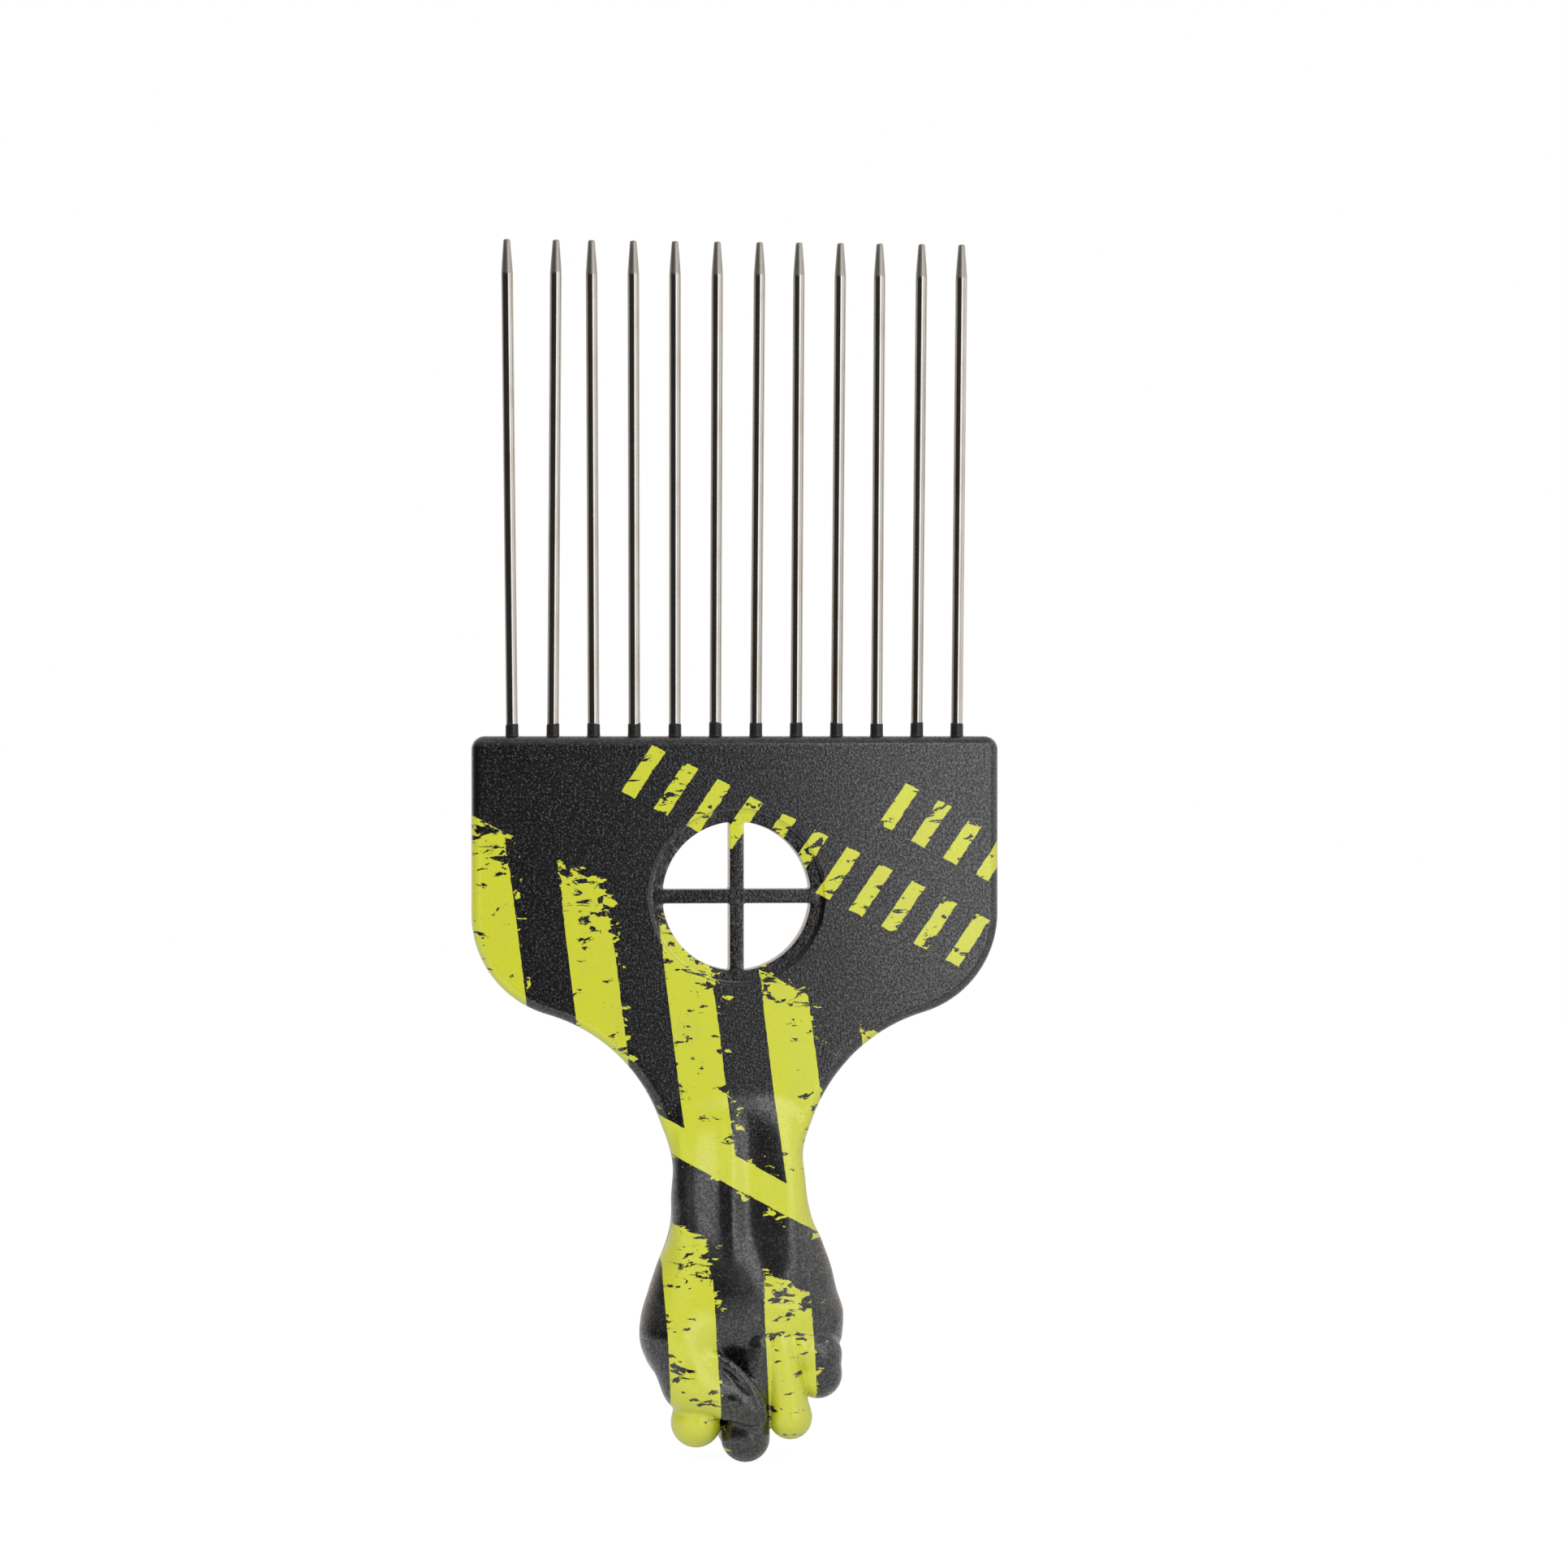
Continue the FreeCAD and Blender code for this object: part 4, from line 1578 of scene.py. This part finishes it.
@dataclass
class ToothRow:
    """Drawn wires with ground ends, each set in the blade's top and painted round its root."""

    count: int = 12
    pitch: float = 5.74
    radius: float = 0.825
    tip_radius: float = 0.475
    tip_round: float = 0.45
    foot: float = 97.0
    blade_top: float = 102.3
    tip: float = 172.1
    taper: float = 4.8
    taper_ease: tuple[Row, ...] = ((0.0, 0.008), (0.3, 0.04))
    cone_shares: Row = (0.35, 0.7, 1.0)
    shank_end: float = 0.25
    shank_points: int = 15
    nose_points: int = 7
    paint_height: float = 1.75
    paint_film: float = 0.085
    paint_overlap: float = 0.05
    paint_foot: tuple[Row, ...] = ((-0.4, 0.10), (0.02, 0.06), (0.10, 0.02), (0.30, 0.0))
    paint_head: tuple[Row, ...] = ((-0.30, -0.005), (-0.08, -0.02), (0.0, -0.06))
    paint_lip: float = 0.03
    paint_rise: Row = (-0.07, 0.10)
    paint_wave: float = 0.05
    paint_seed: int = 12
    leans: tuple[float, ...] = (-0.70, 0.48, -0.28, -0.12, 0.04, 0.30, 0.56, 0.42, 0.58, 0.44, 0.70, 0.68)
    facets: int = 32
    wire_sharp: float = 60.0
    paint_sharp: float = 70.0
    wire: DrawnWire = field(default_factory=DrawnWire)
    paint: RootPaint = field(default_factory=RootPaint)

    def core(self, number: int, z: np.ndarray) -> np.ndarray:
        """Give a tooth's centre line.

        Args:
            number: The tooth, from 0.
            z: Heights.

        Returns:
            The x of the line at those heights.
        """
        rise = np.maximum(z - self.blade_top, 0.0) / (self.tip - self.blade_top)
        return self.pitch * (number - (self.count - 1) / 2) + self.leans[number] * rise

    def turned(self, number: int, steps: Sequence[Row], wave: np.ndarray | None = None) -> list[np.ndarray]:
        """Turn a profile round a tooth's centre line.

        Args:
            number: The tooth, from 0.
            steps: Height and radius of each ring.
            wave: Share of a ring's height above the blade that each facet adds to it.

        Returns:
            Rings of points.
        """
        angles = np.linspace(0.0, 2 * math.pi, self.facets, endpoint=False)
        rings = []
        for z, radius in steps:
            heights = np.full(self.facets, z) if wave is None else z + wave * (z - self.blade_top)
            x = self.core(number, heights) + np.cos(angles) * radius
            rings.append(np.column_stack((x, np.sin(angles) * radius, heights)))
        return rings

    def wire_steps(self) -> list[tuple[float, float]]:
        """Lay steps along a wire from its foot to its rounded end.

        Returns:
            Height and radius of each step.
        """
        shoulder = self.tip - self.taper
        shank = np.linspace(self.blade_top, shoulder - self.shank_end, self.shank_points)
        steps = [(self.foot, self.radius), *((z, self.radius) for z in shank)]
        steps += [(shoulder + rise, self.radius - cut) for rise, cut in self.taper_ease]
        nose = self.tip_radius
        cone_end = self.tip - nose * self.tip_round
        for share in self.cone_shares:
            radius = self.radius + (nose - self.radius) * share
            steps.append((shoulder + (cone_end - shoulder) * share, radius))
        for angle in np.linspace(0.0, math.pi / 2, self.nose_points)[1:-1]:
            steps.append((cone_end + math.sin(angle) * nose * self.tip_round, nose * math.cos(angle)))
        return steps

    def build_wire(self, number: int, material: bpy.types.Material) -> bpy.types.Object:
        """Build and dress one tooth.

        Args:
            number: The tooth, from 0.
            material: Its finish.

        Returns:
            The piece.
        """
        patches = Patchwork()
        rings = self.turned(number, self.wire_steps())
        patches.strip(rings, closed=True)
        patches.add(rings[0], [range(self.facets)])
        tip = np.array(((self.core(number, np.array([self.tip]))[0], 0.0, self.tip),))
        fan = [(i, (i + 1) % self.facets, self.facets) for i in range(self.facets)]
        patches.add(np.concatenate((rings[-1], tip)), fan)
        piece = patches.make(f"tooth_wire_{number + 1:02d}", sharp=self.wire_sharp)
        piece.data.materials.append(material)
        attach(piece, BODY)
        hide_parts(f"tooth_{number + 1:02d}")
        return piece

    def build_paint(self) -> bpy.types.Object:
        """Build and dress the film of paint round all roots.

        Returns:
            The piece.
        """
        patches = Patchwork()
        draw = np.random.default_rng(self.paint_seed)
        angles = np.linspace(0.0, 2 * math.pi, self.facets, endpoint=False)
        outer = self.radius + self.paint_film
        low, high = self.blade_top, self.blade_top + self.paint_height
        steps = [(low + rise, outer + swell) for rise, swell in self.paint_foot]
        steps += [(high + rise, outer + swell) for rise, swell in self.paint_head]
        steps.append((high + self.paint_lip, self.radius - self.paint_overlap))
        for number in range(self.count):
            phase = draw.uniform(0.0, 2 * math.pi, 3)
            height = draw.uniform(*self.paint_rise)
            wave = height + sum(self.paint_wave / k * np.sin(k * angles + phase[k - 1]) for k in (1, 2, 3))
            patches.strip(self.turned(number, steps, wave), closed=True)
        piece = patches.make("tooth_root_paint", sharp=self.paint_sharp)
        piece.data.materials.append(self.paint.material())
        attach(piece, BODY)
        return piece

    def build(self) -> list[bpy.types.Object]:
        """Build and dress the whole row.

        Returns:
            The pieces.
        """
        material = self.wire.material()
        return [self.build_wire(number, material) for number in range(self.count)] + [self.build_paint()]


# Studio


@dataclass(frozen=True)
class Softbox:
    """An area lamp aimed at the pick."""

    name: str
    azimuth: float
    elevation: float
    distance: float
    width: float
    height: float
    watts: float
    mirrored: bool = False


@dataclass
class Studio:
    """Floor, surroundings, lamps and camera.

    Fades of the room are two ends and the results there. Turns run from 0 in front to 1 behind, positive to
    the right, and heights from 0 at the horizon to 1 overhead.
    """

    aim: Row = (6.88, 0.0, 95.5)
    azimuth: float = -6.0
    elevation: float = 0.6
    distance: float = 600.0
    frame_height: float = 222.0
    sensor: float = 36.0
    clip: Row = (0.01, 20.0)
    floor_reach: float = 900.0
    floor_front: float = 130.0
    floor_colour: Colour = (0.92, 0.92, 0.92, 1.0)
    floor_glow: float = 1.07
    floor_seen: float = 0.9
    floor_mirrored: float = 0.2
    fill: float = 0.46
    front_level: float = 0.03
    right_turn: Row = (0.28, 0.48, 0.0, 1.0)
    right_behind: Row = (0.45, 0.80, 1.0, 0.75)
    left_turn: Row = (0.45, 0.85, 0.0, 0.75)
    side_height: Row = (0.3, 0.9, 1.0, 0.2)
    top_height: Row = (0.15, 1.0, 0.0, 0.6)
    warm_turn: Row = (0.35, 0.85, 0.0, 1.0)
    warm_height: Row = (0.2, 0.7, 1.0, 0.0)
    warm: Colour = (1.0, 0.89, 0.80, 1.0)
    lamp_aim: Row = (0.0, 0.0, 85.0)
    softboxes: tuple[Softbox, ...] = (
        Softbox("front_box", -35.0, 3.0, 650.0, 500.0, 300.0, 1.75),
        Softbox("top_box", -5.0, 45.0, 600.0, 420.0, 300.0, 0.8),
        Softbox("near_panel", 24.0, 12.0, 300.0, 160.0, 360.0, 0.27, True),
        Softbox("side_panel", 56.0, 12.0, 300.0, 168.0, 360.0, 0.13, True),
    )

    def direction(self, azimuth: float, elevation: float) -> Vector:
        """Give the direction from the pick to a place round it.

        Args:
            azimuth: Degrees from the front towards +X.
            elevation: Degrees above the horizon.

        Returns:
            The unit vector.
        """
        a, e = math.radians(azimuth), math.radians(elevation)
        return Vector((math.sin(a) * math.cos(e), -math.cos(a) * math.cos(e), math.sin(e)))

    def build_camera(self) -> None:
        """Place the camera at the photograph's viewing angle."""
        data = bpy.data.cameras.new("camera")
        data.sensor_width = self.sensor
        data.lens = self.sensor * self.distance / self.frame_height
        data.clip_start, data.clip_end = self.clip
        camera = bpy.data.objects.new("camera", data)
        back = self.direction(self.azimuth, self.elevation)
        camera.location = (Vector(self.aim) + back * self.distance) * MM
        camera.rotation_euler = (-back).to_track_quat("-Z", "Y").to_euler()
        bpy.context.scene.collection.objects.link(camera)
        bpy.context.scene.camera = camera

    def build_lamps(self) -> None:
        """Hang the softboxes round the pick."""
        for box in self.softboxes:
            data = bpy.data.lights.new(box.name, "AREA")
            data.shape = "RECTANGLE"
            data.size, data.size_y = box.width * MM, box.height * MM
            data.energy = box.watts
            lamp = bpy.data.objects.new(box.name, data)
            lamp.visible_glossy = box.mirrored
            lamp.visible_camera = False
            back = self.direction(box.azimuth, box.elevation)
            lamp.location = (Vector(self.lamp_aim) + back * box.distance) * MM
            lamp.rotation_euler = (-back).to_track_quat("-Z", "Y").to_euler()
            bpy.context.scene.collection.objects.link(lamp)

    def build_floor(self) -> None:
        """Lay the pale floor under the pick."""
        reach, front = self.floor_reach * MM, self.floor_front * MM
        mesh = bpy.data.meshes.new("floor")
        corners = [(-reach, -front, 0.0), (reach, -front, 0.0), (reach, reach, 0.0), (-reach, reach, 0.0)]
        mesh.from_pydata(corners, [], [(0, 1, 2, 3)])
        floor = bpy.data.objects.new("floor", mesh)
        bpy.context.scene.collection.objects.link(floor)
        bench, material = Bench.for_material("pale_floor")
        seen, mirrored = bench.rays()
        bright = seen * self.floor_seen + mirrored * self.floor_mirrored
        diffuse = bench.node("ShaderNodeBsdfDiffuse", None, {"Color": self.floor_colour})
        glow = bench.node("ShaderNodeEmission", None, {"Color": WHITE, "Strength": self.floor_glow})
        sockets = {0: bright, 1: diffuse.outputs[0], 2: glow.outputs[0]}
        mixed = bench.node("ShaderNodeMixShader", None, sockets)
        bench.node("ShaderNodeOutputMaterial", None, {"Surface": mixed.outputs[0]})
        mesh.materials.append(material)

    def build_world(self) -> None:
        """Surround the pick with a white backdrop and a dim room on the camera's side."""
        world = bpy.data.worlds.new("studio")
        world.use_nodes = True
        bpy.context.scene.world = world
        bench = Bench(world.node_tree)
        seen, mirrored = bench.rays()
        coords = bench.node("ShaderNodeTexCoord")
        across, away, above = bench.split(coords.outputs["Generated"])
        turn = bench.math("ARCTAN2", across, -away) / math.pi
        right = turn.ramp(*self.right_turn) * turn.ramp(*self.right_behind)
        left = (-turn).ramp(*self.left_turn)
        room = self.front_level + right.at_least(left) * above.ramp(*self.side_height)
        room = room + above.ramp(*self.top_height)
        level = seen.at_least(mirrored * room).at_least((1.0 - mirrored) * (1.0 - seen) * self.fill)
        warmth = abs(turn).ramp(*self.warm_turn) * mirrored * above.ramp(*self.warm_height)
        tint = bench.blend(warmth, WHITE, self.warm)
        colour = bench.vector("SCALE", tint, scale=level)
        glow = bench.node("ShaderNodeBackground", None, {"Color": colour, "Strength": 1.0})
        bench.node("ShaderNodeOutputWorld", None, {"Surface": glow.outputs[0]})

    def build(self) -> None:
        """Set up the whole studio."""
        self.build_floor()
        self.build_world()
        self.build_lamps()
        self.build_camera()
        bpy.context.scene.view_settings.view_transform = "Standard"


def main() -> None:
    """Build the pick's pieces and the studio."""
    logging.basicConfig(level=logging.INFO, format="%(name)s: %(message)s")
    pieces = [Handle().build(), *ToothRow().build()]
    for piece in pieces:
        LOG.info("%s: %d points, %d faces", piece.name, len(piece.data.vertices), len(piece.data.polygons))
    Studio().build()


if __name__ == "__main__":
    main()
